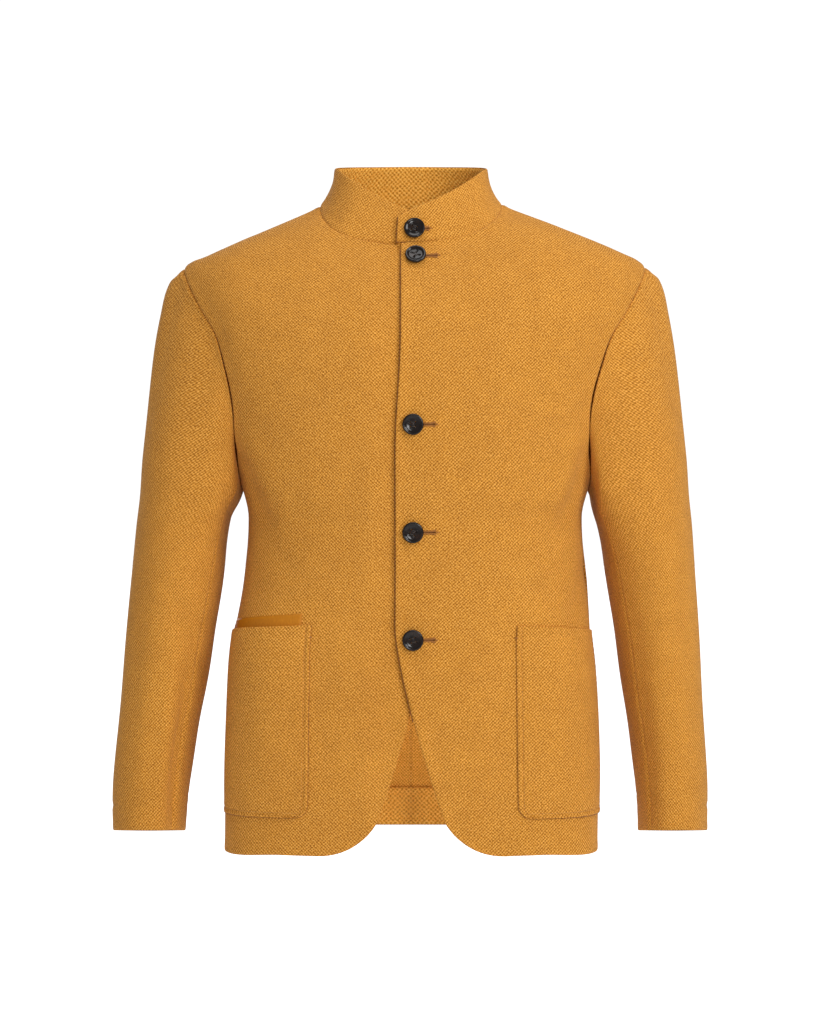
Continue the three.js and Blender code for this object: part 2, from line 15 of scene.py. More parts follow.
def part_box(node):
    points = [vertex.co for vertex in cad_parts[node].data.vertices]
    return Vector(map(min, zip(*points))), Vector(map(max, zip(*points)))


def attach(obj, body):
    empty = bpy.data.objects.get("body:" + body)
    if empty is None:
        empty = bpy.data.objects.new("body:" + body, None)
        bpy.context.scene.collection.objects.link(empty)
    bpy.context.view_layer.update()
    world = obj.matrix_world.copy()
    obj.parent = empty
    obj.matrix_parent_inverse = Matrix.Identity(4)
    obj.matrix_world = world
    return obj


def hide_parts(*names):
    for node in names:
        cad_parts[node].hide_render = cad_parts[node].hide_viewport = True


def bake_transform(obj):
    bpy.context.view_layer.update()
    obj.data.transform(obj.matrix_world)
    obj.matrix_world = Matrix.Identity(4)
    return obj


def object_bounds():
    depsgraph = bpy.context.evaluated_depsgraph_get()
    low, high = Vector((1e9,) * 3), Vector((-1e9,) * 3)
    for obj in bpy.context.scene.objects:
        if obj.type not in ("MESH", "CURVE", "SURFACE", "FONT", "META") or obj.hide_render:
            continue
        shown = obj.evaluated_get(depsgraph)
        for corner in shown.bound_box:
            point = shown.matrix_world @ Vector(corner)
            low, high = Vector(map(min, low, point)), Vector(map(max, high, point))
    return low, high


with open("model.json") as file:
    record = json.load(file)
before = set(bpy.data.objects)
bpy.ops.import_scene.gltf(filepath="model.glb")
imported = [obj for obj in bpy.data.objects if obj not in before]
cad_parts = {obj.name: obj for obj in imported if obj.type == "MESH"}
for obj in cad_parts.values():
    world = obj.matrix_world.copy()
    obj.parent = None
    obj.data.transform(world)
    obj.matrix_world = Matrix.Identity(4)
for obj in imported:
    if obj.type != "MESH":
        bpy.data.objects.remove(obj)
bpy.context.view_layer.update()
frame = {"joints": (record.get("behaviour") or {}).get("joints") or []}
JOINTS = {j["name"]: j for j in frame["joints"]}

MM = 0.001
SIDES = ("left", "right")

# ---- the jacket's measures, as in the CAD model ----
ROUNDNESS = 2.5
HEM_ROUNDNESS = 3.4
NECK_HALF = 102
NECK_Z = 718
NECK_FRONT_Z = 667
NECK_BACK_RISE = 9
TIP_Z = 643
ARMPIT_Z = 391
ARMHOLE_MID_Z = (TIP_Z + ARMPIT_Z) / 2
ARMHOLE_HALF_Z = (TIP_Z - ARMPIT_Z) / 2
ARMHOLE_HALF_Y = 75
CUFF_Z = 14
CUFF_RISE = 8.4
COLLAR_TOP_HALF = 86
COLLAR_FRONT_TOP_Z = 705
COLLAR_SIDE_TOP_Z = 759
CLOTH = 1.6
CANVAS = 0.7
FACING = 1.1
GAP = 0.15
UNDERLAP = 3.2
PLACKET_X = -17
PLACKET_SWING = 6
CUTAWAY_Z = 245
CUTAWAY_DROP = 205
CUTAWAY_SWEEP = 52
CORNER_Z = 42
CORNER_SWEEP = 66
OVERLAP_END_Z = 142
HEM_DEPTH = 40
BUTTON_R = 11.5
TIP = Vector(JOINTS["left_sleeve_swing"]["pos_m"])  # the left shoulder tip, the pivot of the sleeve
ORIGIN = np.array([0.0, TIP.y, TIP.z - TIP_Z * MM])

HALF_WIDTH, FRONT_DEPTH, BACK_DEPTH = 1, 2, 3  # the columns of BODY after z
BODY = np.array([
    [0, 210, 108, 128], [100, 210, 112, 124], [200, 206, 113, 117], [290, 194, 114, 113],
    [363, 187, 117, 113], [391, 195, 119, 117], [437, 211, 122, 122], [489, 225, 124, 126],
    [533, 239, 124, 127], [569, 249, 120, 125], [594, 260, 114, 121], [623, 266, 103, 115],
    [643, 262, 92, 109], [657, 246, 83, 104], [690, 168, 58, 90], [718, 102, 20, 70], [732, 74, 10, 56],
], float)
SLEEVE = np.array([  # z, outer x, inner x, half depth
    [14, 334, 257, 56], [75, 334, 253, 58], [181, 328, 238, 63], [302, 321, 220, 69],
    [355, 317, 211, 72], [391, 313, 196, 75], [439, 310, 196, 77], [525, 301, 204, 79],
    [593, 291, 225, 74], [632, 280, 245, 58], [643, 262, 258, 40],
], float)

# ---- how unevenly it hangs ----
WAIST_SHIFT = 4.5
RIGHT_ARM_SHIFT = 8
RIGHT_ARM_FULLER = 2.6
SHOULDER_TILT = 3.4
LEFT_TIP_LIFT = 2.6
RIGHT_TIP_LIFT = 4.4
ARMPIT_LIFT = 9
HEM_DIP = 4
CUFF_DIP = 2


def cosd(degrees):
    return np.cos(np.radians(degrees))


def sind(degrees):
    return np.sin(np.radians(degrees))


def smooth(t):
    t = np.clip(t, 0, 1)
    return t * t * (3 - 2 * t)


def fade(value, nought, one):
    """Rises or falls smoothly from 0 at one value to 1 at another."""
    return smooth((value - nought) / (one - nought))


def bell(value, middle, width):
    return np.exp(-(((value - middle) / width) ** 2))


def lerp(a, b, t):
    return a + (b - a) * t


def unit(vectors):
    return vectors / np.linalg.norm(vectors, axis=-1, keepdims=True)


def as_worn(points):
    """Shifts evenly drawn cloth to how it hangs: its right shoulder low, its hem dipping at the sides."""
    points = np.array(points, float)
    x, z = points[..., 0].copy(), points[..., 2].copy()
    off = np.abs(x)
    waist = fade(z, 215, 305) * fade(z, 470, 380) * fade(off, 0, 110) * fade(off, 209, 199)
    right_arm = fade(-x, 180, 240) * fade(z, 0, 330)
    from_axis = np.clip((x - 0.085 * z + 296) / 30, -1, 1)
    fuller = fade(-x, 205, 213) * fade(z, -20, 40) * fade(z, 400, 280) * from_axis
    points[..., 0] += WAIST_SHIFT * waist + RIGHT_ARM_SHIFT * right_arm + RIGHT_ARM_FULLER * fuller
    tilt = np.clip(x / 120, -1, 0.6) * fade(z, 560, 630) * fade(z, 735, 685)
    tip_lift = np.where(x > 0, LEFT_TIP_LIFT, RIGHT_TIP_LIFT) * bell(off, 260, 13) * fade(z, 590, 640)
    points[..., 2] += SHOULDER_TILT * tilt * (1 - 0.6 * fade(-x, 190, 240)) + tip_lift
    points[..., 2] += ARMPIT_LIFT * bell(off, 197, 14) * bell(z, 385, 40)
    hem = HEM_DIP * fade(off, 140, 205) * fade(off, 215, 210)
    points[..., 2] -= fade(z, 60, 0) * (hem + CUFF_DIP * fade(off, 225, 235))
    return points


def place(points):
    return as_worn(points) * MM + ORIGIN


def table_at(table, key, column):
    """A smooth curve through a table's rows, read at a key."""
    keys, values = table[:, 0], table[:, column]
    key = np.asarray(key, float)
    slopes = np.empty(len(keys))
    slopes[1:-1] = (values[2:] - values[:-2]) / (keys[2:] - keys[:-2])
    slopes[0] = (values[1] - values[0]) / (keys[1] - keys[0])
    slopes[-1] = (values[-1] - values[-2]) / (keys[-1] - keys[-2])
    i = np.clip(np.searchsorted(keys, key) - 1, 0, len(keys) - 2)
    span = keys[i + 1] - keys[i]
    t = (key - keys[i]) / span
    return (
        (2 * t**3 - 3 * t**2 + 1) * values[i]
        + (t**3 - 2 * t**2 + t) * slopes[i] * span
        + (3 * t**2 - 2 * t**3) * values[i + 1]
        + (t**3 - t**2) * slopes[i + 1] * span
    )


# ---- the body's surface: theta is 0 at the side, 90 at the centre front, -90 at the centre back ----
def roundness(z):
    return lerp(HEM_ROUNDNESS, ROUNDNESS, smooth(np.asarray(z) / ARMPIT_Z))


def half_depth(z, in_front):
    return np.where(in_front, table_at(BODY, z, FRONT_DEPTH), table_at(BODY, z, BACK_DEPTH))


def body_point(theta, z):
    c, s = cosd(theta), sind(theta)
    power = 2 / roundness(z)
    x = table_at(BODY, z, HALF_WIDTH) * np.sign(c) * np.abs(c) ** power
    y = -np.sign(s) * half_depth(z, s > 0) * np.abs(s) ** power
    return np.stack([x, y, np.broadcast_to(z, x.shape)], -1)


def with_normal(surface, u, v, du, dv):
    across = surface(u + du, v) - surface(u - du, v)
    along = surface(u, v + dv) - surface(u, v - dv)
    return surface(u, v), unit(np.cross(along, across))


def body(theta, z):
    return with_normal(body_point, theta, z, 1.5, 1.5)


def theta_at(x, z):
    share = np.minimum(1, np.abs(x) / table_at(BODY, z, HALF_WIDTH))
    theta = np.degrees(np.arccos(share ** (roundness(z) / 2)))
    return np.where(np.asarray(x) < 0, 180 - theta, theta)


def theta_of_depth(y, z, in_front):
    """The body's angle where its cloth is y in front of the side seam, or behind it."""
    share = np.minimum(1, y / half_depth(z, in_front))
    theta = np.degrees(np.arcsin(share ** (ROUNDNESS / 2)))
    return np.where(in_front, theta, -theta)


def armhole(alpha):
    """The body's angle and height at the armhole; alpha is 0 at the shoulder tip and 180 at the armpit."""
    z = ARMHOLE_MID_Z + ARMHOLE_HALF_Z * cosd(alpha)
    y = ARMHOLE_HALF_Y * np.abs(sind(alpha))
    return theta_of_depth(y, z, alpha >= 0), z


def neckline(phi):
    """The body's angle and height at the collar seam; phi is 90 at the front and -90 at the back."""
    s = sind(phi)
    x = NECK_HALF * cosd(phi)
    rise = (NECK_Z - NECK_FRONT_Z) * (1 - np.abs(s)) ** 1.2
    z = np.where(s > 0, NECK_FRONT_Z + rise, NECK_Z + NECK_BACK_RISE * s * s)
    theta = theta_at(x, z)
    return np.where(s > 0, theta, -theta), z


def front_edge(z):
    """The closing edge's x: straight down the placket, then swept aside, and rounded at the hem."""
    z = np.maximum(z, 0)
    swept = np.clip((CUTAWAY_Z - np.maximum(z, CORNER_Z)) / CUTAWAY_DROP, 0, 1) ** 1.35
    rounded = (1 - np.minimum(1, z / CORNER_Z) ** 0.5) ** 1.25
    return PLACKET_X + PLACKET_SWING * fade(z, 430, 570) + CUTAWAY_SWEEP * swept + CORNER_SWEEP * rounded


HEIGHTS = np.linspace(-30, 740, 400)


def lengths_from_hem(column):
    """How long the cloth is from the hem to each height, over the belly or down the back."""
    steps = np.hypot(np.diff(HEIGHTS), np.diff(table_at(BODY, HEIGHTS, column)))
    return np.concatenate([[0], np.cumsum(steps)])


FRONT_LENGTHS = lengths_from_hem(FRONT_DEPTH)
BACK_LENGTHS = lengths_from_hem(BACK_DEPTH)


def body_grain(theta, z, centre):
    """Where points of the body lie in the flat cloth: how far from a centre line and up from the hem."""
    share = np.linspace(0, 1, 28)[:, None, None]
    ring = body_point(lerp(centre, theta, share), z + 0 * share)
    girth = np.linalg.norm(np.diff(ring, axis=0), axis=-1).sum(0) * np.where(theta > 90, -1, 1)
    return np.stack([girth, np.interp(z, HEIGHTS, FRONT_LENGTHS if centre > 0 else BACK_LENGTHS)], -1)


# ---- meshes ----
EDGE_STEPS = [0, 0.35, 0.9, 1.7, 2.8, 4.2, 5.0, 5.5, 6.0, 7.2, 9.5, 13]
STITCH_AT = EDGE_STEPS.index(5.5)  # the grid line that a row of topstitching follows
RELIEF = {  # soft lines along an edge: how high each stands, how far in its middle is, and its width
    "seam": [(-0.55, 0, 1.0), (0.4, 5, 3.2)],
    "armhole": [(-1.0, 0, 1.1), (1.2, 4.5, 5)],
    "armpit": [(-1.8, 0, 2.2), (0.2, 6, 5)],
    "stitched": [(0.9, 2.4, 1.8), (-0.3, 0, 0.4), (-0.8, 5.6, 1.0), (0.3, 9, 3)],
    "pressed": [(-0.6, 0, 0.6), (0.35, 4, 5)],
    "": [],
}


def spread(length, step=5.0, end=True):
    """Shares from 0 to 1 of a length, about a step apart and much closer together at its edges."""
    last = EDGE_STEPS if end else [0]
    middle = np.linspace(EDGE_STEPS[-1], length - last[-1], max(3, int(length / step)))[1:-1]
    return np.concatenate([EDGE_STEPS, middle, [length - s for s in reversed(last)]]) / length


def lengths(grid, axis):
    """How far each grid point is along its row (axis 1) or column (axis 0)."""
    steps = np.linalg.norm(np.diff(grid, axis=axis), axis=-1)
    zero = np.zeros_like(np.take(steps, [0], axis))
    return np.cumsum(np.concatenate([zero, steps], axis), axis)


def relief(kind, d):
    """Height of the cloth near an edge: a seam sinks and its allowances lift it beside the line."""
    return sum((height * bell(d, middle, width) for height, middle, width in RELIEF[kind]), 0 * d)


def ridge(a, b, start, end, width, height):
    """A soft fold along a line in a plane of two coordinates, fading out at its ends."""
    line = np.subtract(end, start)
    length = math.hypot(*line)
    along = ((a - start[0]) * line[0] + (b - start[1]) * line[1]) / length
    off = ((a - start[0]) * line[1] - (b - start[1]) * line[0]) / length
    ends = smooth(along / (0.35 * length)) * smooth((length - along) / (0.35 * length))
    return height * ends * bell(off, 0, width)


def folds(a, b, ridges):
    return sum(ridge(a, b, *one) for one in ridges)


def mesh_object(name, vertices, faces, material, uvs=None):
    mesh = bpy.data.meshes.new(name)
    mesh.from_pydata([tuple(map(float, p)) for p in vertices], [], [list(map(int, f)) for f in faces])
    mesh.materials.append(material)
    if uvs is not None:
        layer = mesh.uv_layers.new(name="UVMap")
        corner = np.empty(len(mesh.loops), dtype=np.int32)
        mesh.loops.foreach_get("vertex_index", corner)
        layer.data.foreach_set("uv", np.asarray(uvs, np.float32)[corner].ravel())
    mesh.validate()
    mesh.update()
    mesh.shade_smooth()
    return link(name, mesh)


def link(name, data):
    """A new object in the scene."""
    made = bpy.data.objects.new(name, data)
    bpy.context.scene.collection.objects.link(made)
    return made


def outward(vertices, faces):
    """The faces, turned over if the closed mesh is inside out."""
    v = np.asarray(vertices)
    first = np.array([f[:3] for f in faces])
    last = np.array([[f[0], f[2], f[-1]] for f in faces])
    volume = sum(np.einsum("ij,ij->", v[t[:, 0]], np.cross(v[t[:, 1]], v[t[:, 2]])) for t in (first, last))
    return faces if volume > 0 else [f[::-1] for f in faces]


def shell_faces(rows, cols, closed=False):
    """Faces of a shell between two grids of points; when it is closed, its last column is its first."""
    wide = cols - 1 if closed else cols
    deep = rows * wide
    faces = []
    for j in range(rows - 1):
        for i in range(cols - 1):
            a, b = j * wide + i % wide, j * wide + (i + 1) % wide
            c, d = b + wide, a + wide
            faces += [(a, b, c, d), (deep + a, deep + d, deep + c, deep + b)]
    for i in range(cols - 1):
        for j, turn in ((0, 1), (rows - 1, -1)):
            a, b = j * wide + i % wide, j * wide + (i + 1) % wide
            faces.append((deep + a, deep + b, b, a)[::turn])
    for j in range(0 if closed else rows - 1):
        for i, turn in ((0, -1), (cols - 1, 1)):
            a = j * wide + i
            faces.append((deep + a, deep + a + wide, a + wide, a)[::turn])
    return faces


class Panel:
    """A sheet of cloth as a grid of points with normals, to be shaped and then made into a closed mesh."""

    def __init__(self, points, normals, closed=False):
        self.points, self.normals, self.closed = points, normals, closed
        self.row, self.column = lengths(points, 1), lengths(points, 0)
        self.height = np.zeros(points.shape[:2])
        self.grain = np.stack([self.row, self.column], -1)

    def edges(self, left="", right="", bottom="", top=""):
        self.height += relief(left, self.row) + relief(right, self.row[:, -1:] - self.row)
        self.height += relief(bottom, self.column) + relief(top, self.column[-1:] - self.column)

    def make(self, name, material, thickness, lift=0.0, inside=None):
        """Panels are drawn for the left side, so a piece whose name starts with right_ is mirrored."""
        flip = [-1 if name.startswith("right_") else 1, 1, 1]
        self.outer = (self.points + self.normals * (lift + self.height)[..., None]) * flip
        inner = (self.points + self.normals * (lift - thickness + 0.5 * self.height)[..., None]) * flip
        rows, cols = self.height.shape
        wide = cols - 1 if self.closed else cols
        vertices = np.concatenate([skin[:, :wide].reshape(-1, 3) for skin in (self.outer, inner)])
        faces = outward(vertices, shell_faces(rows, cols, self.closed))
        uvs = np.tile(self.grain[:, :wide].reshape(-1, 2) * MM, (2, 1))
        self.piece = mesh_object(name, place(vertices), faces, material, uvs)
        if inside:
            self.piece.data.materials.append(inside)
            for face in self.piece.data.polygons:
                face.material_index = int(min(face.vertices) >= rows * wide)

    def cut(self):
        """The size and area of the flat cloth, in metres."""
        across, along = self.outer[1:, 1:] - self.outer[:-1, :-1], self.outer[1:, :-1] - self.outer[:-1, 1:]
        area = float(np.linalg.norm(np.cross(across, along), axis=-1).sum() / 2 * MM * MM)
        size = (float(self.row[:, -1].max()) * MM, float(self.column[-1].max()) * MM)
        return size, min(area, size[0] * size[1])


def ring_faces(a, b, sides):
    """Quads between two rings of vertices, which start at a and at b."""
    return [(a + i, a + (i + 1) % sides, b + (i + 1) % sides, b + i) for i in range(sides)]


def tubes(paths, radius, sides=6):
    """Vertices and faces of closed round tubes along paths of points, drawn in a little at their ends."""
    turns = [2 * math.pi * i / sides for i in range(sides)]
    vertices, faces = [], []
    for path in paths:
        path = np.asarray(path, float)
        along = unit(np.gradient(path, axis=0))
        guide = [0.13, 0.31, 0.94] if abs(along[0][2]) < 0.9 else [0.94, 0.13, 0.31]
        side = unit(np.cross(along, guide))
        other = np.cross(along, side)
        first, last = len(vertices), len(vertices) + (len(path) - 1) * sides
        for k, point in enumerate(path):
            r = radius * (0.55 if k in (0, len(path) - 1) else 1.0)
            vertices += [point + r * (math.cos(a) * side[k] + math.sin(a) * other[k]) for a in turns]
        for ring in range(first, last, sides):
            faces += ring_faces(ring, ring + sides, sides)
        faces += [tuple(reversed(range(first, first + sides))), tuple(range(last, last + sides))]
    return vertices, faces


def dashes(path, stitch, gap, points=4):
    """Cuts a path of points into stitches, each a short path of its own."""
    path = np.asarray(path)
    at = np.concatenate([[0], np.cumsum(np.linalg.norm(np.diff(path, axis=0), axis=1))])
    made, where = [], 0.0
    while where + stitch < at[-1]:
        s = np.linspace(where, where + stitch, points)
        made.append(np.stack([np.interp(s, at, path[:, k]) for k in range(3)], -1))
        where += stitch + gap
    return made


# ---- materials ----
def new_material(name):
    material = bpy.data.materials.new(name)
    material.use_nodes = True
    tree = material.node_tree
    return material, Nodes(tree), tree.nodes["Principled BSDF"]


def set_inputs(node, **values):
    """Sets a node's inputs by name, with underscores for the spaces."""
    for name, value in values.items():
        node.inputs[name.replace("_", " ")].default_value = value


class Nodes:
    """Short ways to add and link shader nodes."""

    def __init__(self, tree):
        self.tree = tree

    def add(self, kind, **values):
        node = self.tree.nodes.new(kind)
        for key, value in values.items():
            setattr(node, key, value)
        return node

    def link(self, source, target):
        self.tree.links.new(source, target)

    def math(self, operation, *values):
        node = self.add("ShaderNodeMath", operation=operation)
        for socket, value in zip(node.inputs, values, strict=False):
            if isinstance(value, (int, float)):
                socket.default_value = value
            else:
                self.link(value, socket)
        return node.outputs[0]

    def noise(self, vector, scale, detail=2.0, rough=0.5):
        node = self.add("ShaderNodeTexNoise")
        self.link(vector, node.inputs["Vector"])
        set_inputs(node, Scale=scale, Detail=detail, Roughness=rough)
        return node.outputs["Fac"]

    def stretched(self, scale, rotation=(0, 0, 0)):
        """Object coordinates, stretched and turned."""
        node = self.add("ShaderNodeMapping")
        set_inputs(node, Scale=scale, Rotation=rotation)
        self.link(self.add("ShaderNodeTexCoord").outputs["Object"], node.inputs[0])
        return node.outputs[0]

    def ramp(self, value, stops):
        node = self.add("ShaderNodeValToRGB")
        self.link(value, node.inputs[0])
        elements = node.color_ramp.elements
        while len(elements) < len(stops):
            elements.new(0.5)
        for element, (at, colour) in zip(elements, stops, strict=True):
            element.position = at
            element.color = (*colour, 1)
        return node.outputs[0]

    def multiply(self, a, b):
        node = self.add("ShaderNodeMix", data_type="RGBA", blend_type="MULTIPLY")
        node.inputs[0].default_value = 1.0
        self.link(a, node.inputs[6])
        self.link(b, node.inputs[7])
        return node.outputs[2]

    def bump(self, height, strength, distance, normal=None):
        node = self.add("ShaderNodeBump")
        set_inputs(node, Strength=strength, Distance=distance)
        self.link(height, node.inputs["Height"])
        if normal is not None:
            self.link(normal, node.inputs["Normal"])
        return node.outputs[0]


def twill(name, pitch, dark, mid, light, basket=False):
    """Woollen cloth: diagonal ribs broken into short floats of yarn, with heathered colour and a soft nap."""
    material, n, shader = new_material(name)
    uv = n.add("ShaderNodeTexCoord").outputs["UV"]
    split = n.add("ShaderNodeSeparateXYZ")
    n.link(uv, split.inputs[0])
    x, y = split.outputs[0], split.outputs[1]
    wander = n.math("MULTIPLY", n.math("SUBTRACT", n.noise(uv, 0.9 / pitch, 3.0, 0.7), 0.5), 6.0)
    stray = n.math("MULTIPLY", n.math("SUBTRACT", n.noise(uv, 0.6 / pitch, 2.0, 0.6), 0.5), 7.0)

    def wave(distance, waver):
        turns = n.math("MULTIPLY_ADD", distance, 2 * math.pi / pitch, waver)
        return n.math("MULTIPLY_ADD", n.math("SINE", turns), 0.5, 0.5)

    rib = wave(n.math("SUBTRACT", y, x), wander)
    floats = wave(n.math("ADD", y, x), stray)
    rib_share = 0.5 if basket else 0.58
    weave = n.math("MULTIPLY_ADD", floats, 1 - rib_share, n.math("MULTIPLY", rib, rib_share))
    fibre = n.noise(uv, 1300.0, 3.0, 0.65)
    specks = n.math("MULTIPLY_ADD", n.noise(uv, 520.0, 1.0, 0.5), 1.5, n.math("MULTIPLY", fibre, 0.7))
    weave = n.math("ADD", weave, n.math("MULTIPLY", n.math("SUBTRACT", specks, 1.1), 0.95))
    tones = n.ramp(weave, [(0.0, dark), (0.5, mid), (1.0, light)])
    place_in_jacket = n.add("ShaderNodeTexCoord").outputs["Object"]
    heather = n.ramp(n.noise(place_in_jacket, 55.0, 4.0, 0.6), [(0.3, (0.90, 0.88, 0.86)), (0.7, (1, 1, 1))])
    cloudy = n.ramp(n.noise(place_in_jacket, 7.0, 2.0, 0.5), [(0.35, (0.95, 0.94, 0.93)), (0.65, (1, 1, 1))])
    n.link(n.multiply(n.multiply(tones, heather), cloudy), shader.inputs["Base Color"])
    n.link(n.math("MULTIPLY_ADD", fibre, -0.12, 0.92), shader.inputs["Roughness"])
    set_inputs(shader, Sheen_Weight=0.08, Sheen_Roughness=0.55, Sheen_Tint=(1.0, 0.80, 0.50, 1))
    set_inputs(shader, Specular_IOR_Level=0.22)
    coarse = n.bump(n.noise(place_in_jacket, 120.0, 3.0), 0.12, 0.0012)
    n.link(n.bump(weave, 0.7, 0.00045, coarse), shader.inputs["Normal"])
    return material


def fine(name, dark, light, rough, scale, stretch=(1, 1, 1), sheen=0.1, bump=0.3, depth=0.0002, gloss=0.4):
    """A plain material with a grain: noise stretched one way, for satin, canvas, thread and wadding."""
    material, n, shader = new_material(name)
    grain = n.noise(n.stretched(stretch), scale, 4.0, 0.6)
    n.link(n.ramp(grain, [(0.3, dark), (0.7, light)]), shader.inputs["Base Color"])
    n.link(n.math("MULTIPLY_ADD", grain, 0.16, rough - 0.08), shader.inputs["Roughness"])
    set_inputs(shader, Sheen_Weight=sheen, Specular_IOR_Level=gloss)
    n.link(n.bump(grain, bump, depth), shader.inputs["Normal"])
    return material


def horn_material():
    """Near-black horn with faint brown streaks, polished."""
    material, n, shader = new_material("horn")
    streaked = n.stretched((1.0, 3.0, 2.2), (0.3, 0.5, 0.2))
    tones = [(0.32, (0.003, 0.002, 0.002)), (0.55, (0.008, 0.004, 0.003)), (0.74, (0.030, 0.013, 0.007))]
    n.link(n.ramp(n.noise(streaked, 90.0, 5.0, 0.62), tones), shader.inputs["Base Color"])
    n.link(n.math("MULTIPLY_ADD", n.noise(streaked, 600.0, 3.0), 0.06, 0.09), shader.inputs["Roughness"])
    set_inputs(shader, Specular_IOR_Level=0.36)
    n.link(n.bump(n.noise(streaked, 900.0, 2.0), 0.06, 0.0001), shader.inputs["Normal"])
    return material


TWILL_PITCH = 0.0037
BASKET_PITCH = 0.0053
WOOL = twill("wool", TWILL_PITCH, (0.330, 0.113, 0.005), (0.600, 0.250, 0.027), (0.860, 0.418, 0.083))
# partly real, partly painted light: the reverse face's coarser basket weave, with its colours raised to stand
# in for light that the jacket's inside does not get
WOOL_INSIDE_PAINTED_LIGHT = twill(
    "wool_inside_painted_light", BASKET_PITCH, (0.460, 0.165, 0.008), (0.840, 0.360, 0.042), (1.000, 0.560, 0.120), True
)
# painted light: a lighter copy of the twill for the inner face of the back, brightened because little light
# reaches inside the back
WOOL_REVERSE_PAINTED_LIGHT = twill(
    "wool_reverse_painted_light", TWILL_PITCH, (0.420, 0.155, 0.008), (0.720, 0.305, 0.033), (0.940, 0.470, 0.090)
)
SATIN = fine("satin", (0.43, 0.145, 0.004), (0.56, 0.205, 0.009), 0.5, 260, (6, 1, 1), 0.0, 0.12, gloss=0.25)
CANVAS_CLOTH = fine("canvas", (0.50, 0.43, 0.30), (0.74, 0.66, 0.50), 0.92, 900, (1, 4, 1))
WADDING = fine("wadding", (0.66, 0.62, 0.54), (0.86, 0.83, 0.76), 0.97, 300, (1, 1, 1), 0.3, 0.6, 0.001, 0.1)
SEWING_THREAD = fine("mustard_thread", (0.36, 0.15, 0.02), (0.60, 0.28, 0.05), 0.6, 2400)
HOLE_THREAD = fine("rust_thread", (0.27, 0.090, 0.010), (0.46, 0.175, 0.025), 0.55, 2200)
# painted shadow: dark thread that draws the shadow lines under the closing edge and at the collar's over end,
# and round the pockets, where it is also a real edge stitch
EDGE_SHADOW_THREAD = fine("edge_shadow_thread", (0.20, 0.065, 0.004), (0.34, 0.115, 0.010), 0.7, 2200)
BUTTON_THREAD = fine("button_thread", (0.012, 0.008, 0.006), (0.045, 0.030, 0.022), 0.55, 2600)
SHADOW = fine("slit", (0.11, 0.036, 0.004), (0.16, 0.054, 0.006), 0.9, 900, sheen=0.0)
HORN = horn_material()

# ---- camera: level with the jacket's waist, about eight feet off, as a product shot ----
EYE = [-1.7, -2400, 372]
MM_PER_PIXEL = 1.13  # at the side seams
FRAME_LONG_SIDE = 1024
camera = link("camera", bpy.data.cameras.new("camera"))
camera.data.sensor_width = 36
camera.data.lens = -EYE[1] / MM_PER_PIXEL / FRAME_LONG_SIDE * camera.data.sensor_width
camera.location = Vector(place(EYE))
camera.rotation_euler = (math.radians(90), 0, 0)
bpy.context.scene.camera = camera


# ---- how each piece is made and what it rides on ----
OUTER = (WOOL, CLOTH, "cloth", "_cloth")  # a fabric: its material, thickness, slot and name's ending
REVERSE = (WOOL_INSIDE_PAINTED_LIGHT, FACING, "cloth_reverse", "_cloth")
STIFFENER = (CANVAS_CLOTH, CANVAS, "canvas", "_cloth")
STRIP = (SATIN, 0.5, "satin", "_satin")


def dress(piece, node=None, body_name="torso", bends=False):
    """Rides a piece on a body, or bakes its place into its mesh, and hides the CAD node it stands for."""
    if bends:
        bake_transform(piece)
    else:
        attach(piece, body_name)
    if node:
        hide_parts(node)
    return piece


def sew(
    panel, node, fabric, lift=0.0, name=None, inside=None,
    body_name="torso", bends=False, stitching=(),
):
    material, thickness, slot, ending = fabric
    panel.make(name or node + ending, material, thickness, lift, inside)
    with_pieces = [stitch(panel) for stitch in stitching]
    dress(panel.piece, node, body_name, bends)
    size, area = panel.cut()


def stuff(panel, node, thickness, lift, body_name="torso", bends=False):
    """Makes a panel as a pad of wadding."""
    panel.make(node + "_wadding", WADDING, thickness, lift)
    dress(panel.piece, node, body_name, bends)


def stitches(name, path, material, radius=0.32, stitch=2.6, gap=0.9):
    vertices, faces = tubes(dashes(path, stitch, gap), radius, 5)
    return dress(mesh_object(name, place(vertices), faces, material))


def beside(edge, next_in, normals, out, lift):
    """Points a little outside a panel's edge and above or below its surface."""
    return edge + unit(edge - next_in) * out + normals * lift


# ---- fronts ----
BELOW_ARMPIT = spread(ARMPIT_Z, end=False) * ARMPIT_Z  # the heights of a body panel's lower rows
ABOVE_ARMPIT = 1 - (1 - np.linspace(0, 1, 66)[1:]) ** 1.4  # its upper rows, up to 1 at the shoulder
NECK_SHARE = 0.74
FRONT_FOLDS = [  # where each starts and ends, from the centre line and the hem, then its width and height
    ((206, 470), (150, 330), 9, -3.2),  # pinched below the armhole
    ((190, 480), (128, 335), 13, 2.6),
    ((196, 402), (50, 380), 14, 1.6),
    ((222, 600), (196, 450), 12, -2.2),  # the hollow beside the armhole
    ((150, 320), (168, 20), 24, 2.0),  # a long flute in the skirt
    ((108, 330), (96, 30), 18, -1.2),
    ((200, 652), (110, 600), 22, -1.6),
    ((30, 600), (26, 330), 16, 0.9),
]
SIDE_FOLDS = {
    "left": [
        ((188, 372), (40, 352), 12, -2.2),  # drawn in at the waist
        ((182, 318), (116, 262), 13, -2.8),  # slack over the pocket
        ((194, 330), (170, 244), 12, -3.0),
        ((190, 292), (126, 240), 12, 1.5),
    ],
    "right": [((188, 372), (40, 352), 12, -1.5), ((176, 345), (120, 300), 12, -1.6)],
}


def drape(x, z, side):
    """How far a front's cloth stands out or sinks; x is from the centre line."""
    a = np.abs(x)
    rolling = 1.1 * np.sin(a / 41 + z / 95) * np.sin(z / 63 + 1.3) * fade(a, 25, 85)
    return rolling + folds(a, z, FRONT_FOLDS + SIDE_FOLDS[side])


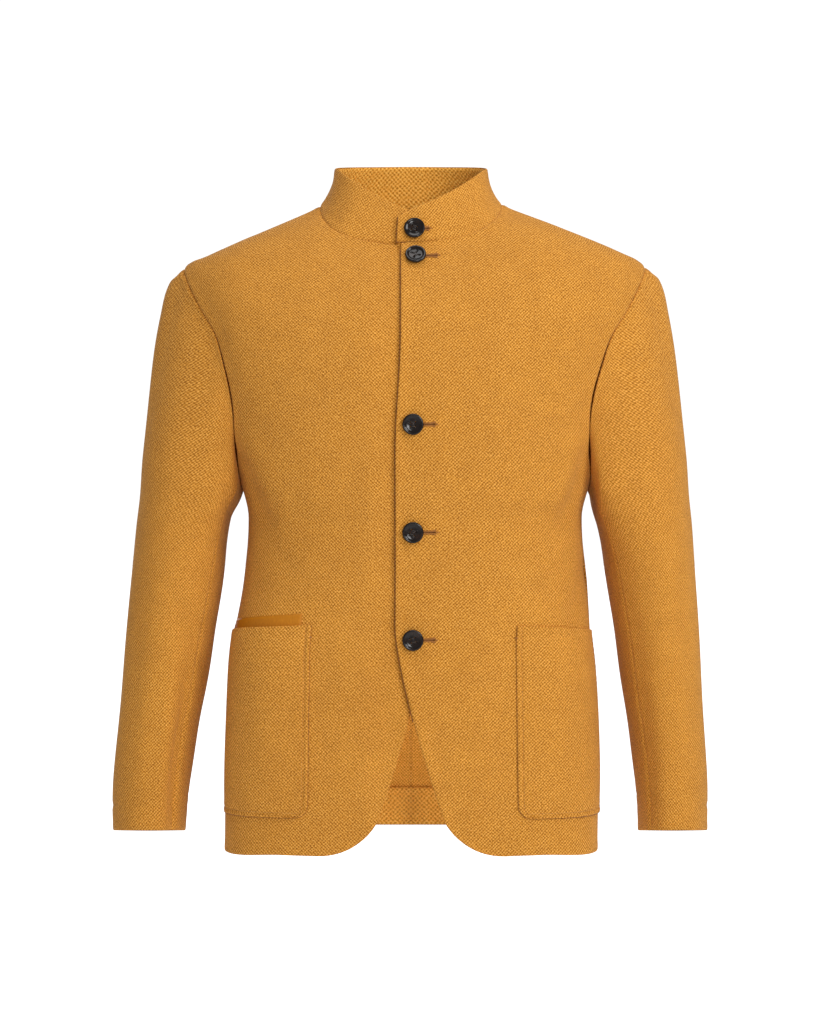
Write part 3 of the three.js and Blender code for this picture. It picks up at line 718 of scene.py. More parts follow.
def body_grid(low_theta, theta, z, arm, cols):
    """Angles and heights of a body panel, from its first column to the side seam and the armhole over it."""
    side_theta = np.zeros_like(low_theta)
    lows = ((low_theta, side_theta), (BELOW_ARMPIT, BELOW_ARMPIT))
    highs = ((theta, arm[0]), (z, arm[1]))
    grid = []
    for low, high in zip(lows, highs, strict=True):
        first, last = (np.concatenate(ends)[:, None] for ends in zip(low, high, strict=True))
        grid.append(lerp(first, last, cols))
    return grid


def front_grid(cols):
    s = ABOVE_ARMPIT
    edge_z = np.minimum(NECK_FRONT_Z, lerp(ARMPIT_Z, NECK_FRONT_Z, s / NECK_SHARE))
    neck_theta, neck_z = neckline(lerp(97, 0, np.clip((s - NECK_SHARE) / (1 - NECK_SHARE), 0, 1)))
    theta = np.where(s < NECK_SHARE, theta_at(front_edge(edge_z), edge_z), neck_theta)
    z = np.where(s < NECK_SHARE, edge_z, neck_z)
    low_theta = theta_at(front_edge(BELOW_ARMPIT), BELOW_ARMPIT)
    return body_grid(low_theta, theta, z, armhole(180 * (1 - s)), cols)


def sink(x, z):
    """How far the under side of the closing lies back; x is from the centre line, towards its own side."""
    shadow_gap = 2.6 * bell(x + front_edge(z), 0.6, 2.4)
    return UNDERLAP * fade(x, 50, 23) + shadow_gap


def front_panel(side, cols, rows=slice(None)):
    theta, z = (part[rows] for part in front_grid(cols))
    points, normals = body(theta, z)
    x = points[..., 0].copy()
    if side == "right":
        points = points - normals * sink(x, z)[..., None]
    points[..., 1] -= GAP
    panel = Panel(points, normals)
    panel.grain = body_grain(theta, z, 90)
    panel.height += drape(x, z, side)
    return panel


def sewn_along_neck(panel):
    """A front's first column is a free edge up to the collar, and the collar's seam above that."""
    at_neck = fade(panel.points[..., 2][:, :1], NECK_FRONT_Z - 3, NECK_FRONT_Z)
    return lerp(relief("pressed", panel.row), relief("seam", panel.row), at_neck)


def sewn_along_side(panel):
    """A body panel's last column is the side seam up to the armpit, then a tight crease, then the armhole."""
    d, z = panel.row[:, -1:] - panel.row, panel.points[..., 2][:, -1:]
    on_top = fade(z, ARMPIT_Z + 25, ARMPIT_Z + 105)
    sewn = lerp(relief("armpit", d), relief("armhole", d), on_top)
    return lerp(relief("seam", d), sewn, fade(z, ARMPIT_Z - 6, ARMPIT_Z))


def draw_closing_shadow_line(panel):
    """The painted shadow line just under the closing edge, drawn as a near-unbroken row of dark stitches, as
    far down as the fronts overlap.
    """
    line = beside(panel.points[:, 0], panel.points[:, 1], panel.normals[:, 0], 0.5, -0.9)
    line = line[(line[:, 2] > OVERLAP_END_Z) & (line[:, 2] < NECK_FRONT_Z - 3)]
    return stitches("closing_shadow_line", line, EDGE_SHADOW_THREAD, 0.6, 6.0, 0.1)


def make_front(side):
    panel = front_panel(side, spread(300))
    panel.height += sewn_along_neck(panel) + sewn_along_side(panel)
    if side == "left":
        panel.height += 0.9 * bell(panel.row, 0, 7)  # the closing edge rolls out a little
    panel.edges(bottom="pressed", top="seam")
    sew(panel, side + "_front", OUTER, stitching=[draw_closing_shadow_line] if side == "left" else [])


def make_front_layers(side):
    """The facing inside a front's edge, and the canvas between."""
    cols = np.linspace(0, 0.26, 24)
    facing = front_panel(side, cols, slice(5, -12))
    lift = -CLOTH - GAP - 0.9 * fade(cols, 0.1, 0.16)
    sew(facing, side + "_facing", REVERSE, lift)
    canvas = front_panel(side, np.linspace(0.16, 0.62, 40), slice(70, -16))
    sew(canvas, side + "_canvas", STIFFENER, -CLOTH - GAP - 0.25)


for side in SIDES:
    make_front(side)
    make_front_layers(side)

# ---- backs ----
BACK_SEAM_SHARE = 0.86
BACK_FOLDS = [
    ((205, 480), (140, 330), 11, -3.0),
    ((190, 500), (118, 340), 15, 2.6),
    ((185, 370), (20, 345), 16, -2.4),
    ((185, 400), (20, 385), 18, 2.0),
    ((70, 330), (84, 10), 26, 2.4),
    ((130, 330), (142, 10), 24, -1.8),
    ((230, 600), (200, 450), 13, -2.2),
]


def back_drape(x, z):
    a = np.abs(x)
    rolling = 1.2 * np.sin(a / 47 + 0.6) * np.sin(z / 71) * fade(a, 15, 75)
    return rolling + folds(a, z, BACK_FOLDS)


def back_grid(cols):
    s = ABOVE_ARMPIT
    arm_theta, arm_z = armhole(-180 * (1 - s))
    arm_theta = np.where(s >= 1, 0, arm_theta)
    neck_theta, neck_z = neckline(lerp(-90, 0, np.clip((s - BACK_SEAM_SHARE) / (1 - BACK_SEAM_SHARE), 0, 1)))
    on_seam = s < BACK_SEAM_SHARE
    seam_z = lerp(ARMPIT_Z, NECK_Z + NECK_BACK_RISE, s / BACK_SEAM_SHARE)
    theta, z = np.where(on_seam, -90, neck_theta), np.where(on_seam, seam_z, neck_z)
    return body_grid(np.full_like(BELOW_ARMPIT, -90), theta, z, (arm_theta, arm_z), cols)


def make_back(side):
    theta, z = back_grid(spread(290))
    points, normals = body(theta, z)
    points[..., 1] += GAP
    panel = Panel(points, normals)
    panel.grain = body_grain(theta, z, -90)
    panel.height += back_drape(points[..., 0], z) + sewn_along_side(panel)
    panel.edges("seam", "", "pressed", "seam")
    # its inner face takes the lighter copy of the twill, which is painted light
    sew(panel, side + "_back", OUTER, inside=WOOL_REVERSE_PAINTED_LIGHT)


def make_hem_turnup(side):
    theta, z = np.meshgrid(np.linspace(-90, 42, 90), np.linspace(1.5, HEM_DEPTH + 5, 14))
    turnup = Panel(*body(theta, z))
    turnup.height += 0.5 * back_drape(turnup.points[..., 0], z)
    sew(turnup, side + "_hem_turnup", REVERSE, -CLOTH - 1.3)


def make_neck_facing():
    """The facing inside the back of the neck, from one shoulder round to the other."""
    phi, share = np.meshgrid(np.linspace(-12, -168, 70), np.linspace(0, 1, 14))
    past_centre = phi < -90
    near = np.where(past_centre, -180 - phi, phi)
    _, seam_z = neckline(near)
    z = seam_z - lerp(2, 52, share) * (1 - 0.45 * cosd(near) ** 2)
    x = NECK_HALF * cosd(near) * lerp(1, 1.15, share)
    points, normals = body(-theta_at(x, z), z)
    points[..., 0] *= np.where(past_centre, -1, 1)
    normals[..., 0] *= np.where(past_centre, -1, 1)
    sew(Panel(points, normals), "back_neck_facing", REVERSE, -CLOTH - 2.2)


for side in SIDES:
    make_back(side)
    make_hem_turnup(side)
make_neck_facing()

# ---- collar: s runs along it from its over end at the front, h up from its seam ----
COLLAR_START = 99
COLLAR_TURN = 378
COLLAR_LENGTH = 600
COLLAR_SINK = 4.2
COLLAR_CLEAR = 0.4
COLLAR_BACK_LIFT = 12.0
COLLAR_BACK_Y = 60
COLLAR_FRONT_Y = -67
COLLAR_UNDER_EDGE = 0.950  # where on the under end the over end's edge lies
COLLAR_FOLDS = [((70, 2), (105, 36), 7, -0.7), ((470, 4), (440, 36), 8, -0.7)]


def collar_climb(c):
    """How far up its rise the collar's open edge is, from the centre (0) to the side (1): a hollow curve."""
    return 0.6 * c + 0.4 * c**2.5


def collar_point(s, h):
    phi = COLLAR_START - COLLAR_TURN * s
    folded = (phi + 90) % 360 - 90
    mirrored = folded > 90
    near = np.where(mirrored, 180 - folded, folded)
    base = body_point(*neckline(near))
    c = cosd(near)
    back, front = np.maximum(0, -sind(near)), np.maximum(0, sind(near))
    climb = np.where(front > 0, collar_climb(c), 1.0)
    top_z = lerp(COLLAR_FRONT_TOP_Z, COLLAR_SIDE_TOP_Z, climb) + COLLAR_BACK_LIFT * back**0.8
    top = np.stack([COLLAR_TOP_HALF * c, COLLAR_FRONT_Y * front + COLLAR_BACK_Y * back, top_z], -1)
    # past the centre the top edge keeps falling in the same straight line
    rise, slope = COLLAR_FRONT_TOP_Z - NECK_FRONT_Z, COLLAR_SIDE_TOP_Z - COLLAR_FRONT_TOP_Z
    past_centre = (phi > 90) | (phi < -270)
    reach = np.where(past_centre, (rise - slope * c) / (rise + slope * collar_climb(c)), 1.0)
    point = lerp(base, top, (h * reach)[..., None])
    point[..., 0] = np.where(mirrored, -point[..., 0], point[..., 0])
    return point


def collar_surface(s, h):
    return with_normal(collar_point, s, h, 0.004, 0.02)


def collar_drape(s, h, up):
    """The over end stands out a little, the under end sinks beside it, and the sides roll in."""
    along = s * COLLAR_LENGTH
    ends = 0.9 * bell(along, 0, 7) - 1.8 * bell(s, COLLAR_UNDER_EDGE, 0.0045)
    bottom = -1.5 * bell(up, 0, 1.8) * fade(s, 0.08, 0.05)
    at_side = np.abs(cosd(COLLAR_START - COLLAR_TURN * s))
    roll = (0.9 - 4.2 * at_side**2 + 0.35 * np.sin(s * 60)) * np.sin(np.pi * np.clip(h, 0, 1))
    return ends + bottom + roll + folds(along, h * 40, COLLAR_FOLDS)


def collar_panel(cols, rows):
    s, h = np.meshgrid(cols, rows)
    points, normals = collar_surface(s, h)
    points = points + normals * (COLLAR_SINK * fade(s, 0.84, 0.93))[..., None]
    points[..., 2] += COLLAR_CLEAR
    panel = Panel(points, -normals)
    middle_row = panel.row[len(rows) // 2]
    panel.grain = np.stack([np.broadcast_to(middle_row, h.shape), panel.column], -1)
    panel.height += collar_drape(s, h, panel.column)
    return panel


def draw_collar_shadow_line(panel):
    """A painted shadow line at the over end's edge, and on round the corner below it, drawn as a
    near-unbroken row of dark stitches.
    """
    down = beside(panel.points[:, 0], panel.points[:, 1], panel.normals[:, 0], 0.5, -0.6)[::-1]
    below = beside(panel.points[0], panel.points[1], panel.normals[0], -1.0, 0.2)[:14]
    return stitches("collar_shadow_line", np.concatenate([down, below]), EDGE_SHADOW_THREAD, 0.5, 6.0, 0.1)


def make_collar():
    outer = collar_panel(spread(COLLAR_LENGTH, 4.0), lerp(-0.03, 1, spread(38, 4.0)))
    outer.edges("pressed", "pressed", "seam", "pressed")
    sew(outer, "collar_outer", OUTER, stitching=[draw_collar_shadow_line])
    canvas = collar_panel(np.linspace(0.006, 0.994, 120), np.linspace(0.08, 0.94, 8))
    sew(canvas, "collar_interlining", STIFFENER, -CLOTH - GAP, name="collar_canvas_cloth")
    inner = collar_panel(np.linspace(0.003, 0.997, 150), np.linspace(-0.14, 0.985, 14))
    sew(inner, "collar_inner", REVERSE, -CLOTH - CANVAS - 2 * GAP)


make_collar()

# ---- sleeves: phi runs round one from its outer side, t down it from the armhole to the cuff ----
ARMHOLE_CLEAR = -0.3
SLEEVE_SETTLED = 0.42  # the share of its length in which a sleeve turns from the armhole's shape to its own
FORE_SEAM = 138
HIND_SEAM = -128
CUFF_RADIUS = 48
SLEEVE_RADIUS = 67
FOLD_SCALE = 300  # the folds' places down the sleeve are in 300ths of it
SLEEVE_FOLDS = [
    ((58, 120), (62, 296), 14, -1.2),
    ((30, 150), (36, 290), 11, 1.0),
    ((120, 14), (60, 92), 12, -2.2),
    ((98, 8), (40, 80), 13, 1.8),
    ((150, 128), (70, 150), 5, -1.5),
    ((150, 142), (80, 162), 5, -1.1),
    ((-60, 20), (-40, 200), 16, 1.6),
    ((-105, 30), (-95, 200), 18, -2.0),
]
FOREARM_CREASE = [((104, 140), (117, 330), 12, 2.4), ((130, 150), (137, 330), 9, -2.8)]
CREASE_SHARPNESS = {"left": 0.5, "right": 1.3}
SLEEVE_SLACK = {"left": 0.8, "right": 1.0}
CUFF_STITCH_LINES = (27, 39)


def half_turn(phi):
    return (phi + 180) % 360 - 180


def sleeve_point(phi, t):
    turned = half_turn(phi)
    c, s = cosd(turned), sind(turned)

    def tube(z):
        out, inn, deep = (table_at(SLEEVE, z, k) for k in (1, 2, 3))
        return np.stack([(out + inn) / 2 + (out - inn) / 2 * c, -deep * s, z], -1)

    theta, start_z = armhole(turned)
    settled = np.clip(t / SLEEVE_SETTLED, 0, 1)
    settle = (1 - smooth(settled)) * (1 - 0.35 * settled)
    z = lerp(start_z, CUFF_Z + CUFF_RISE * s, t)
    point = tube(z) + (body_point(theta, start_z) - tube(start_z)) * settle[..., None]
    point[..., 0] += ARMHOLE_CLEAR * fade(t, 0.3, 0)
    return point


def sleeve_drape(phi, t, side):
    """Folds of a sleeve: a long crease down the forearm, drag lines at the armpit and slack at the elbow."""
    a = half_turn(phi)
    turn, down = np.radians(a), t * FOLD_SCALE
    h = CREASE_SHARPNESS[side] * folds(a, down, FOREARM_CREASE) + folds(a, down, SLEEVE_FOLDS)
    h += 0.9 * np.sin(turn * 3 + t * 9) * np.sin(t * 14) * smooth(t / 0.2)
    eased_in = 0.5 * np.sin(turn * 34) * bell(t, 0, 0.028) * smooth(np.cos(turn) + 0.3)
    return h * SLEEVE_SLACK[side] + eased_in


def sleeve_panel(side, start, end, cols, rows, closed=False):
    phi, t = np.meshgrid(lerp(start, end, cols), rows)
    _, normals = with_normal(sleeve_point, phi, np.maximum(0.012, t), 3.0, 0.01)
    points = sleeve_point(phi, t)
    panel = Panel(points, -normals, closed)
    girth = np.radians(phi) * lerp(CUFF_RADIUS, SLEEVE_RADIUS, smooth(points[..., 2] / ARMPIT_Z))
    panel.grain = np.stack([girth, points[..., 2]], -1)
    panel.height += sleeve_drape(phi, t, side)
    return panel


def sewn_to_armhole(panel, phi):
    """The sleeve's first row is the armhole seam: full over the top and flat under the arm."""
    under = fade(np.abs(half_turn(phi)), 90, 140)
    return lerp(relief("armhole", panel.column), relief("armpit", panel.column), under[None, :])


def make_sleeve_half(side, half, start, end, width):
    cols = spread(width, 4.5)
    panel = sleeve_panel(side, start, end, cols, spread(630))
    from_cuff = panel.column[-1:] - panel.column
    for line in CUFF_STITCH_LINES:
        panel.height -= 0.9 * bell(from_cuff, line, 1.1)
    panel.height += sewn_to_armhole(panel, lerp(start, end, cols))
    panel.edges("seam", "seam", "", "pressed")
    sew(panel, f"{side}_{half}_sleeve", OUTER, body_name=side + "_sleeve", bends=True)


def make_sleeve_lining_parts(side):
    """The turned-up hem inside the cuff, and the roll of wadding that fills out the sleeve's head."""
    body_name = side + "_sleeve"
    hem = sleeve_panel(side, 0, 360, np.linspace(0, 1, 120), np.linspace(0.935, 0.997, 14), True)
    sew(hem, side + "_cuff_hem", REVERSE, -CLOTH - 0.9, body_name=body_name)
    head = sleeve_panel(side, -60, 70, np.linspace(0, 1, 50), np.linspace(0.004, 0.055, 14))
    stuff(head, side + "_sleeve_head", 3.4, -CLOTH - 1.4, body_name, True)


for side in SIDES:
    make_sleeve_half(side, "top", HIND_SEAM, FORE_SEAM, 290)
    make_sleeve_half(side, "under", FORE_SEAM, 360 + HIND_SEAM, 110)
    make_sleeve_lining_parts(side)


# ---- shoulder pads ----
def make_shoulder_pad(side):
    """A pad that is thin at the neck and in front and behind, and thickest at the shoulder's tip."""
    across, along = np.meshgrid(np.linspace(1, -1, 44), np.linspace(0, 1, 34))
    reach = lerp(26, 54, along) * (1 - 0.25 * along**6)
    z = lerp(700, TIP_Z + 4, along) - 34 * np.abs(across) ** 2.2 * lerp(0.5, 1, along)
    pad = Panel(*body(theta_of_depth(np.abs(across) * reach, z, across > 0), z))
    pad.height += 0.25 * np.sin(across * 40) * np.sin(along * 30)
    thickness = 1 + 7.5 * along * (1 - 0.85 * np.abs(across) ** 2)
    stuff(pad, side + "_shoulder_pad", thickness, -CLOTH - 2.4)


for side in SIDES:
    make_shoulder_pad(side)

# ---- patch pockets ----
LEFT_POCKET = {"near": 113, "top": 249, "side_top": 240, "bottom": 40, "gape": 1.6}
RIGHT_POCKET = {"near": 109, "top": 250, "side_top": 240, "bottom": 41, "gape": 7.0}
LEFT_POCKET_FACING = {"in": 4, "up": -2, "belly": 0}
RIGHT_POCKET_FACING = {"in": 11, "up": 12, "belly": 0.8}  # the right pocket gapes and shows its facing
POCKET_SIDE_THETA = 4
POCKET_CORNER = 15


def pocket_panel(side, pocket):
    """A pocket and its lift off the front; u runs from its near edge to the side, v from bottom to top."""
    u, v = np.meshgrid(spread(165, 4.0), spread(205, 4.5))
    z = lerp(pocket["bottom"], lerp(pocket["top"], pocket["side_top"], u), v)
    rise = np.clip(z - pocket["bottom"], 0, POCKET_CORNER)
    corner = POCKET_CORNER - np.sqrt(POCKET_CORNER**2 - (POCKET_CORNER - rise) ** 2)
    theta = lerp(theta_at(pocket["near"] + 3 * (1 - v) + corner, z), POCKET_SIDE_THETA, u)
    points, normals = body(theta, z)
    panel = Panel(points, normals)
    panel.grain = body_grain(theta, z, 90)
    crown = np.sin(np.pi * u) ** 1.2 * smooth(v / 0.12)
    panel.height += 1.2 * crown * (1 - v) + pocket["gape"] * crown * fade(v, 0.45, 1)
    panel.height += drape(points[..., 0], z, side)
    panel.height += 0.5 * np.sin(u * 9 + 1) * np.sin(v * 7) * smooth(v / 0.2)
    panel.edges("stitched", "pressed", "stitched", "pressed")
    return panel, CLOTH + 0.2 + 0.5 * crown - 1.1 * fade(u, 0.9, 1)


def around(grid, inset):
    """The line down a grid's first column, along its first row and up its last column, some lines in."""
    down, along, up = grid[::-1, inset], grid[inset], grid[:, -1 - inset]
    rows, cols = grid.shape[:2]
    return np.concatenate([down[: rows - inset], along[max(inset, 1) : cols - inset], up[max(inset, 1) :]])


def make_pocket(side, pocket):
    panel, lift = pocket_panel(side, pocket)

    def topstitch(made):
        return stitches(side + "_pocket_topstitch", around(made.outer, STITCH_AT), SEWING_THREAD)

    # a real edge stitch in dark thread, laid nearly unbroken so that it also paints the shadow line round the
    # pocket's edge
    def rim_shadow_stitch(made):
        rim = (made.points + made.normals * 1.1) * [-1 if side == "right" else 1, 1, 1]
        return stitches(side + "_pocket_edge_stitch", around(rim, 0), EDGE_SHADOW_THREAD, 0.42, 6.0, 0.25)

    stitching = [topstitch, rim_shadow_stitch]
    sew(panel, side + "_pocket", OUTER, lift, stitching=stitching)
    return panel


def make_pocket_facing(side, pocket, facing):
    """The satin strip along the inside of the pocket's mouth."""
    u, v = np.meshgrid(np.linspace(0, 1, 60), np.linspace(0, 1, 12))
    top = lerp(pocket["top"], pocket["side_top"], u) + facing["up"]
    z = lerp(pocket["top"] - 26, top, v)
    theta = lerp(theta_at(pocket["near"] + facing["in"], z), POCKET_SIDE_THETA + 1, u)
    panel = Panel(*body(theta, z))
    panel.height += drape(panel.points[..., 0], z, side) + facing["belly"] * np.sin(np.pi * v)
    sew(panel, side + "_pocket_facing", STRIP, 0.6)


def make_bartack(side, corner):
    """Three short bars of thread that hold the corner of a pocket's mouth."""
    middles = [corner + [0.0, 0.0, 0.5 * k] for k in (-1, 0, 1)]
    vertices, faces = tubes([[m - [2.5, 0, 0], m, m + [2.5, 0, 0]] for m in middles], 0.35, 6)
    tack = mesh_object(side + "_pocket_bartack", place(vertices), faces, HOLE_THREAD)
    dress(tack)


pockets = ((LEFT_POCKET, LEFT_POCKET_FACING), (RIGHT_POCKET, RIGHT_POCKET_FACING))
for side, (pocket, facing) in zip(SIDES, pockets, strict=True):
    panel = make_pocket(side, pocket)
    make_pocket_facing(side, pocket, facing)
    make_bartack(side, panel.outer[-12, 1])


# ---- hanger loop ----
def make_hanger_loop():
    """A satin tape whose middle stands off the collar, in the space of its CAD node."""
    low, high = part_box("hanger_loop")
    s = np.linspace(-1, 1, 60)
    across = np.linspace(-1, 1, 9)
    x = (high.x - low.x) / 2 * 0.94 * s
    y = low.y + 1.2 * MM + (high.y - low.y - 2.4 * MM) * np.abs(s) ** 2.2
    z = (low.z + high.z) / 2 - 4 * MM * (1 - 2 * s**2)
    tape = np.stack([x, y, z], -1) + across[:, None, None] * np.array([0, 0, 3.4 * MM])
    points = (tape - ORIGIN) / MM
    loop = Panel(points, unit(np.cross(np.gradient(points, axis=1), [0, 0, 1.0])))
    loop.height += 0.12 * np.cos(across * math.pi * 3)[:, None]
    loop.make("hanger_loop_tape", SATIN, 1.0, 0.5)
    dress(loop.piece, "hanger_loop")


make_hanger_loop()

# ---- buttons, each drawn in its joint's frame, z along the joint's axis ----
BUTTON_THICK = 4.2
BUTTON_LIFT = 1.9
BUTTON_TURNS = (-0.25, 0.4, 0.1, -0.5, 0.3)  # how far round each was sewn on, in radians
HOLE_R = 1.05
HOLE_PITCH = 2.2
BUTTON_SIDES = 72
COLLAR_BUTTON_RISE = 2.6  # the collar's button sits this much above its joint


def lathe(profile, sides):
    """A profile of radii and heights, turned round z; it starts and ends on the axis."""
    turns = [2 * math.pi * i / sides for i in range(sides)]
    vertices = [(0.0, 0.0, profile[0][1])]
    for r, z in profile[1:-1]:
        vertices += [(r * math.cos(a), r * math.sin(a), z) for a in turns]
    vertices.append((0.0, 0.0, profile[-1][1]))
    faces = [(0, 1 + (i + 1) % sides, 1 + i) for i in range(sides)]
    last, top = 1 + (len(profile) - 3) * sides, len(vertices) - 1
    for ring in range(1, last, sides):
        faces += ring_faces(ring, ring + sides, sides)
    faces += [(last + i, last + (i + 1) % sides, top) for i in range(sides)]
    return vertices, faces


def button_profile():
    """Flat back, rounded rim, and a dished middle."""
    r, t = BUTTON_R, BUTTON_THICK
    back = [(0, 0), (r * 0.72, 0), (r * 0.86, 0.25)]
    bends = np.linspace(0.5, math.pi * 0.93, 9)
    rim = [(r - 1.5 + 1.5 * math.sin(a), t * (0.52 - 0.40 * math.cos(a))) for a in bends]
    dish = [(0.80, 0.86), (0.74, 0.76), (0.66, 0.66), (0.56, 0.60), (0.3, 0.57), (0, 0.56)]
    return back + rim + [(r * out, t * up) for out, up in dish]


def cut_button():
    """One button in its own frame, in millimetres, with the holes cut right through."""
    vertices, faces = lathe(button_profile(), BUTTON_SIDES)
    blank = mesh_object("button_blank", vertices, outward(vertices, faces), HORN)
    hole = [(0, -2), (HOLE_R, -2), (HOLE_R, BUTTON_THICK + 2), (0, BUTTON_THICK + 2)]
    all_vertices, all_faces = [], []
    for x in (-HOLE_PITCH, HOLE_PITCH):
        for y in (-HOLE_PITCH, HOLE_PITCH):
            vertices, faces = lathe(hole, 20)
            first = len(all_vertices)
            all_vertices += [(a + x, b + y, c) for a, b, c in vertices]
            all_faces += [tuple(first + k for k in face) for face in faces]
    cutter = mesh_object("button_holes", all_vertices, outward(all_vertices, all_faces), HORN)
    cut = blank.modifiers.new("holes", "BOOLEAN")
    cut.operation, cut.solver, cut.object = "DIFFERENCE", "EXACT", cutter
    graph = bpy.context.evaluated_depsgraph_get()
    made = bpy.data.meshes.new_from_object(blank.evaluated_get(graph))
    for old in (blank, cutter):
        bpy.data.objects.remove(old)
    return made


def arc_over(a, b, height, points=9):
    """A strand of thread from a to b that stands up between them and dips into both holes."""
    s = np.linspace(0, 1, points)
    path = np.outer(1 - s, a) + np.outer(s, b)
    path[:, 2] += height * np.sin(np.pi * s) ** 0.5
    return np.concatenate([[np.subtract(a, (0, 0, 2.2))], path, [np.subtract(b, (0, 0, 2.2))]])


def button_threads():
    """Two rows of strands over the button, and its shank: a coil of thread round a core."""
    top = BUTTON_LIFT + BUTTON_THICK * 0.60 - 0.3
    paths = []
    for y in (-HOLE_PITCH, HOLE_PITCH):
        for k in (-1, 0, 1):
            a = (-HOLE_PITCH + 0.12 * k, y + 0.36 * k, top)
            b = (HOLE_PITCH - 0.1 * k, y + 0.30 * k, top)
            paths.append(arc_over(a, b, 0.4 - 0.1 * abs(k)))
    turns = np.linspace(0, 4 * 2 * math.pi, 90)
    coil_z = np.linspace(-UNDERLAP + 1.2, BUTTON_LIFT - 0.2, 90)
    paths.append(np.stack([1.25 * np.cos(turns), 1.25 * np.sin(turns), coil_z], -1))
    vertices, faces = tubes(paths, 0.24, 7)
    core = [[0, 0, -UNDERLAP + 0.9], [0, 0, -1.0], [0, 0, BUTTON_LIFT + 0.1]]
    core_vertices, core_faces = tubes([core], 1.05, 10)
    faces += [tuple(len(vertices) + k for k in face) for face in core_faces]
    return vertices + core_vertices, faces


def joint_frame(i):
    """Where a button sits and how it faces, with its own lengths in millimetres."""
    joint = JOINTS[f"button_{i}_turn"]
    normal = Vector(joint["axis"]).normalized()
    sideways = (Vector((1, 0, 0)) - normal * normal.x).normalized()
    basis = Matrix((sideways, normal.cross(sideways), normal)).transposed()
    rise = COLLAR_BUTTON_RISE if i == 1 else 0
    centre = Vector(joint["pos_m"]) + basis @ Vector((0, rise * MM, 0))
    return centre, Matrix.Translation(centre) @ basis.to_4x4() @ Matrix.Diagonal((MM, MM, MM, 1))


def make_button(i, button_mesh, threads):
    _, to_frame = joint_frame(i)
    turned = Matrix.Rotation(BUTTON_TURNS[i - 1], 4, "Z")
    mesh = button_mesh.copy()
    mesh.transform(to_frame @ Matrix.Translation((0, 0, BUTTON_LIFT)) @ turned)
    mesh.shade_smooth()
    dress(link(f"button_{i}_horn", mesh), f"button_{i}", f"button_{i}_body")
    thread = mesh_object(f"button_{i}_stitches", *threads, BUTTON_THREAD)
    thread.data.transform(to_frame @ turned)
    dress(thread, f"button_thread_{i}", f"button_{i}_body")


# ---- buttonholes: a slit drawn as a dark sheet of painted shade, and a purled rim of short stitches with an eyelet at its far end ----
COLLAR_HOLE_LENGTH = 17.0
FRONT_HOLE_LENGTH = 24.0
SLIT_HALF = 0.9
RIM_STITCHES = 88


def on_front(x, z, up):
    """A point on the left front's cloth, or so far above it."""
    x, z = np.array([x]), np.array([z])
    point, normal = body(theta_at(x, z), z)
    return point[0] + normal[0] * (up + float(drape(x, z, "left")[0])) - [0, GAP, 0]


def on_collar(x, z, up):
    """A point on the over end of the collar, or so far above it."""
    s = (COLLAR_START - np.degrees(np.arccos(x / NECK_HALF))) / COLLAR_TURN
    top_z = lerp(COLLAR_FRONT_TOP_Z, COLLAR_SIDE_TOP_Z, collar_climb(x / NECK_HALF))
    h = (z - NECK_FRONT_Z - COLLAR_CLEAR) / (top_z - NECK_FRONT_Z)
    point, normal = collar_surface(np.array([s]), np.array([h]))
    return point[0] - normal[0] * (up + 0.9)


def hole_outline(a, length):
    """A point of a buttonhole's outline and the way out from it: straight sides and two round ends."""
    c, s = math.cos(a), math.sin(a)
    if abs(c) < 0.985:
        x = lerp(length, 0, math.sin(a / 2) ** 2)
        half = 0.8 + 0.9 * float(fade(x, length - 4, length))
        return (x, math.copysign(half, s)), (0.0, math.copysign(1.0, s))
    end, eye = (length, 1.7) if c > 0 else (0, 0.8)
    return (end + eye * c, eye * s), (c, s)


def make_buttonhole(i):
    centre, _ = joint_frame(i)
    middle = (np.array(centre) - ORIGIN) / MM
    surface, length = (on_collar, COLLAR_HOLE_LENGTH) if i == 1 else (on_front, FRONT_HOLE_LENGTH)

    def on_cloth(x, y, up):
        return surface(middle[0] + x, middle[2] + y, up)

    rim, purl = [], []
    for k in range(RIM_STITCHES):
        (x, y), (dx, dy) = hole_outline(2 * math.pi * k / RIM_STITCHES, length)
        rim.append([on_cloth(x + dx * d, y + dy * d, up) for d, up in ((0, 0.35), (0.7, 0.55), (1.5, 0.15))])
        purl.append(on_cloth(x, y, 0.45))
    vertices, faces = tubes([*rim, [*purl, purl[0]]], 0.32, 6)
    hole = mesh_object(f"buttonhole_{i}_stitches", place(vertices), faces, HOLE_THREAD)
    dress(hole, f"buttonhole_{i}")
    xs, ys = np.linspace(-1, length, 24), (-SLIT_HALF, SLIT_HALF)
    slit_vertices = [on_cloth(x, y, up) for up in (0.12, -0.3) for x in xs for y in ys]
    slit_faces = outward(slit_vertices, shell_faces(len(xs), len(ys)))
    # painted shade: a dark sheet where the buttonhole's cut would show the shaded cloth beneath
    dress(mesh_object(f"buttonhole_{i}_slit", place(slit_vertices), slit_faces, SHADOW))


button_mesh = cut_button()
threads = button_threads()
for i in range(1, 6):
    make_button(i, button_mesh, threads)
    make_buttonhole(i)

# ---- floor and light ----
FLOOR_DROP = 0.45  # the jacket hangs this far over the floor
FLOOR_HALF = 30.0
FLOOR_GLOW, FLOOR_GLOW_SEEN = 0.15, 0.85
SKY, SKY_SEEN = 0.36, 0.71
low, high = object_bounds()
middle = (low + high) / 2


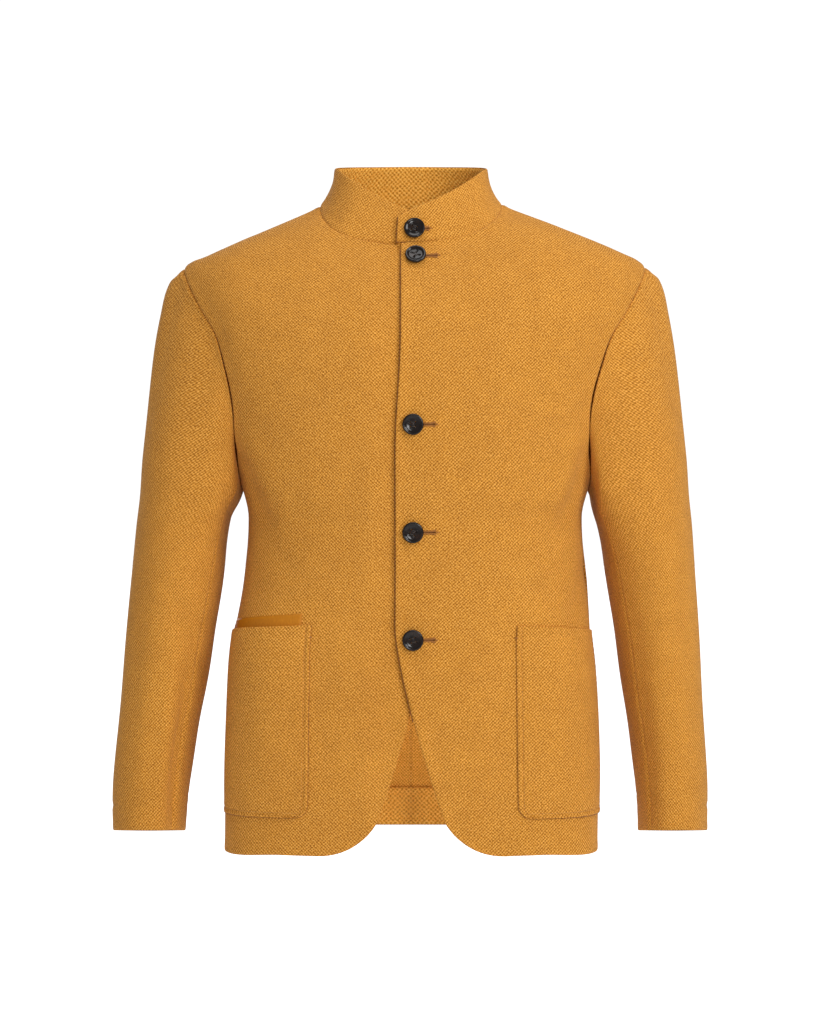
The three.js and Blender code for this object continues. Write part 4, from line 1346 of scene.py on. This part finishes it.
def glow(nodes, socket, everywhere, more_when_seen):
    """Sets a strength that is higher where the camera sees the surface itself."""
    seen = nodes.add("ShaderNodeLightPath").outputs["Is Camera Ray"]
    nodes.link(nodes.math("MULTIPLY_ADD", seen, more_when_seen, everywhere), socket)


def make_floor():
    mesh = bpy.data.meshes.new("floor")
    corners = [(x * FLOOR_HALF, y * FLOOR_HALF, 0) for x, y in ((-1, -1), (1, -1), (1, 1), (-1, 1))]
    mesh.from_pydata(corners, [], [(0, 1, 2, 3)])
    material, nodes, shader = new_material("pale_floor")
    set_inputs(shader, Base_Color=(0.9, 0.9, 0.9, 1), Roughness=0.8, Emission_Color=(1, 1, 1, 1))
    glow(nodes, shader.inputs["Emission Strength"], FLOOR_GLOW, FLOOR_GLOW_SEEN)
    mesh.materials.append(material)
    floor = link("floor", mesh)
    floor.location.z = low.z - FLOOR_DROP


def area_light(name, location, target, size, power):
    light = bpy.data.lights.new(name, "AREA")
    light.shape, light.size, light.size_y = "RECTANGLE", *size
    light.energy = power
    lamp = link(name, light)
    lamp.location = location
    lamp.rotation_euler = (target - location).to_track_quat("-Z", "Y").to_euler()


make_floor()
area_light("key", middle + Vector((2.0, -1.9, 1.5)), middle, (1.1, 1.5), 38)
area_light("front", middle + Vector((0.6, -2.6, 0.5)), middle, (0.7, 0.9), 17)
area_light("glint", middle + Vector((0.45, -2.6, 0.3)), middle, (0.16, 0.16), 1.3)
area_light("top", middle + Vector((0.0, -0.6, 2.3)), middle, (1.6, 1.2), 19)
area_light("bounce", middle + Vector((0.1, -1.5, -1.1)), middle + Vector((0, 0, -0.1)), (0.9, 0.6), 2)
area_light("inside", Vector(place([10, -20, 205])), Vector(place([10, 115, 70])), (0.12, 0.06), 0.15)
area_light("back", middle + Vector((-0.9, 2.6, 0.8)), middle, (1.8, 1.8), 26)

world = bpy.data.worlds.new("studio")
bpy.context.scene.world = world
world.use_nodes = True
backdrop = world.node_tree.nodes["Background"]
set_inputs(backdrop, Color=(1, 1, 1, 1))
glow(Nodes(world.node_tree), backdrop.inputs["Strength"], SKY, SKY_SEEN)
bpy.context.scene.view_settings.view_transform = "Standard"
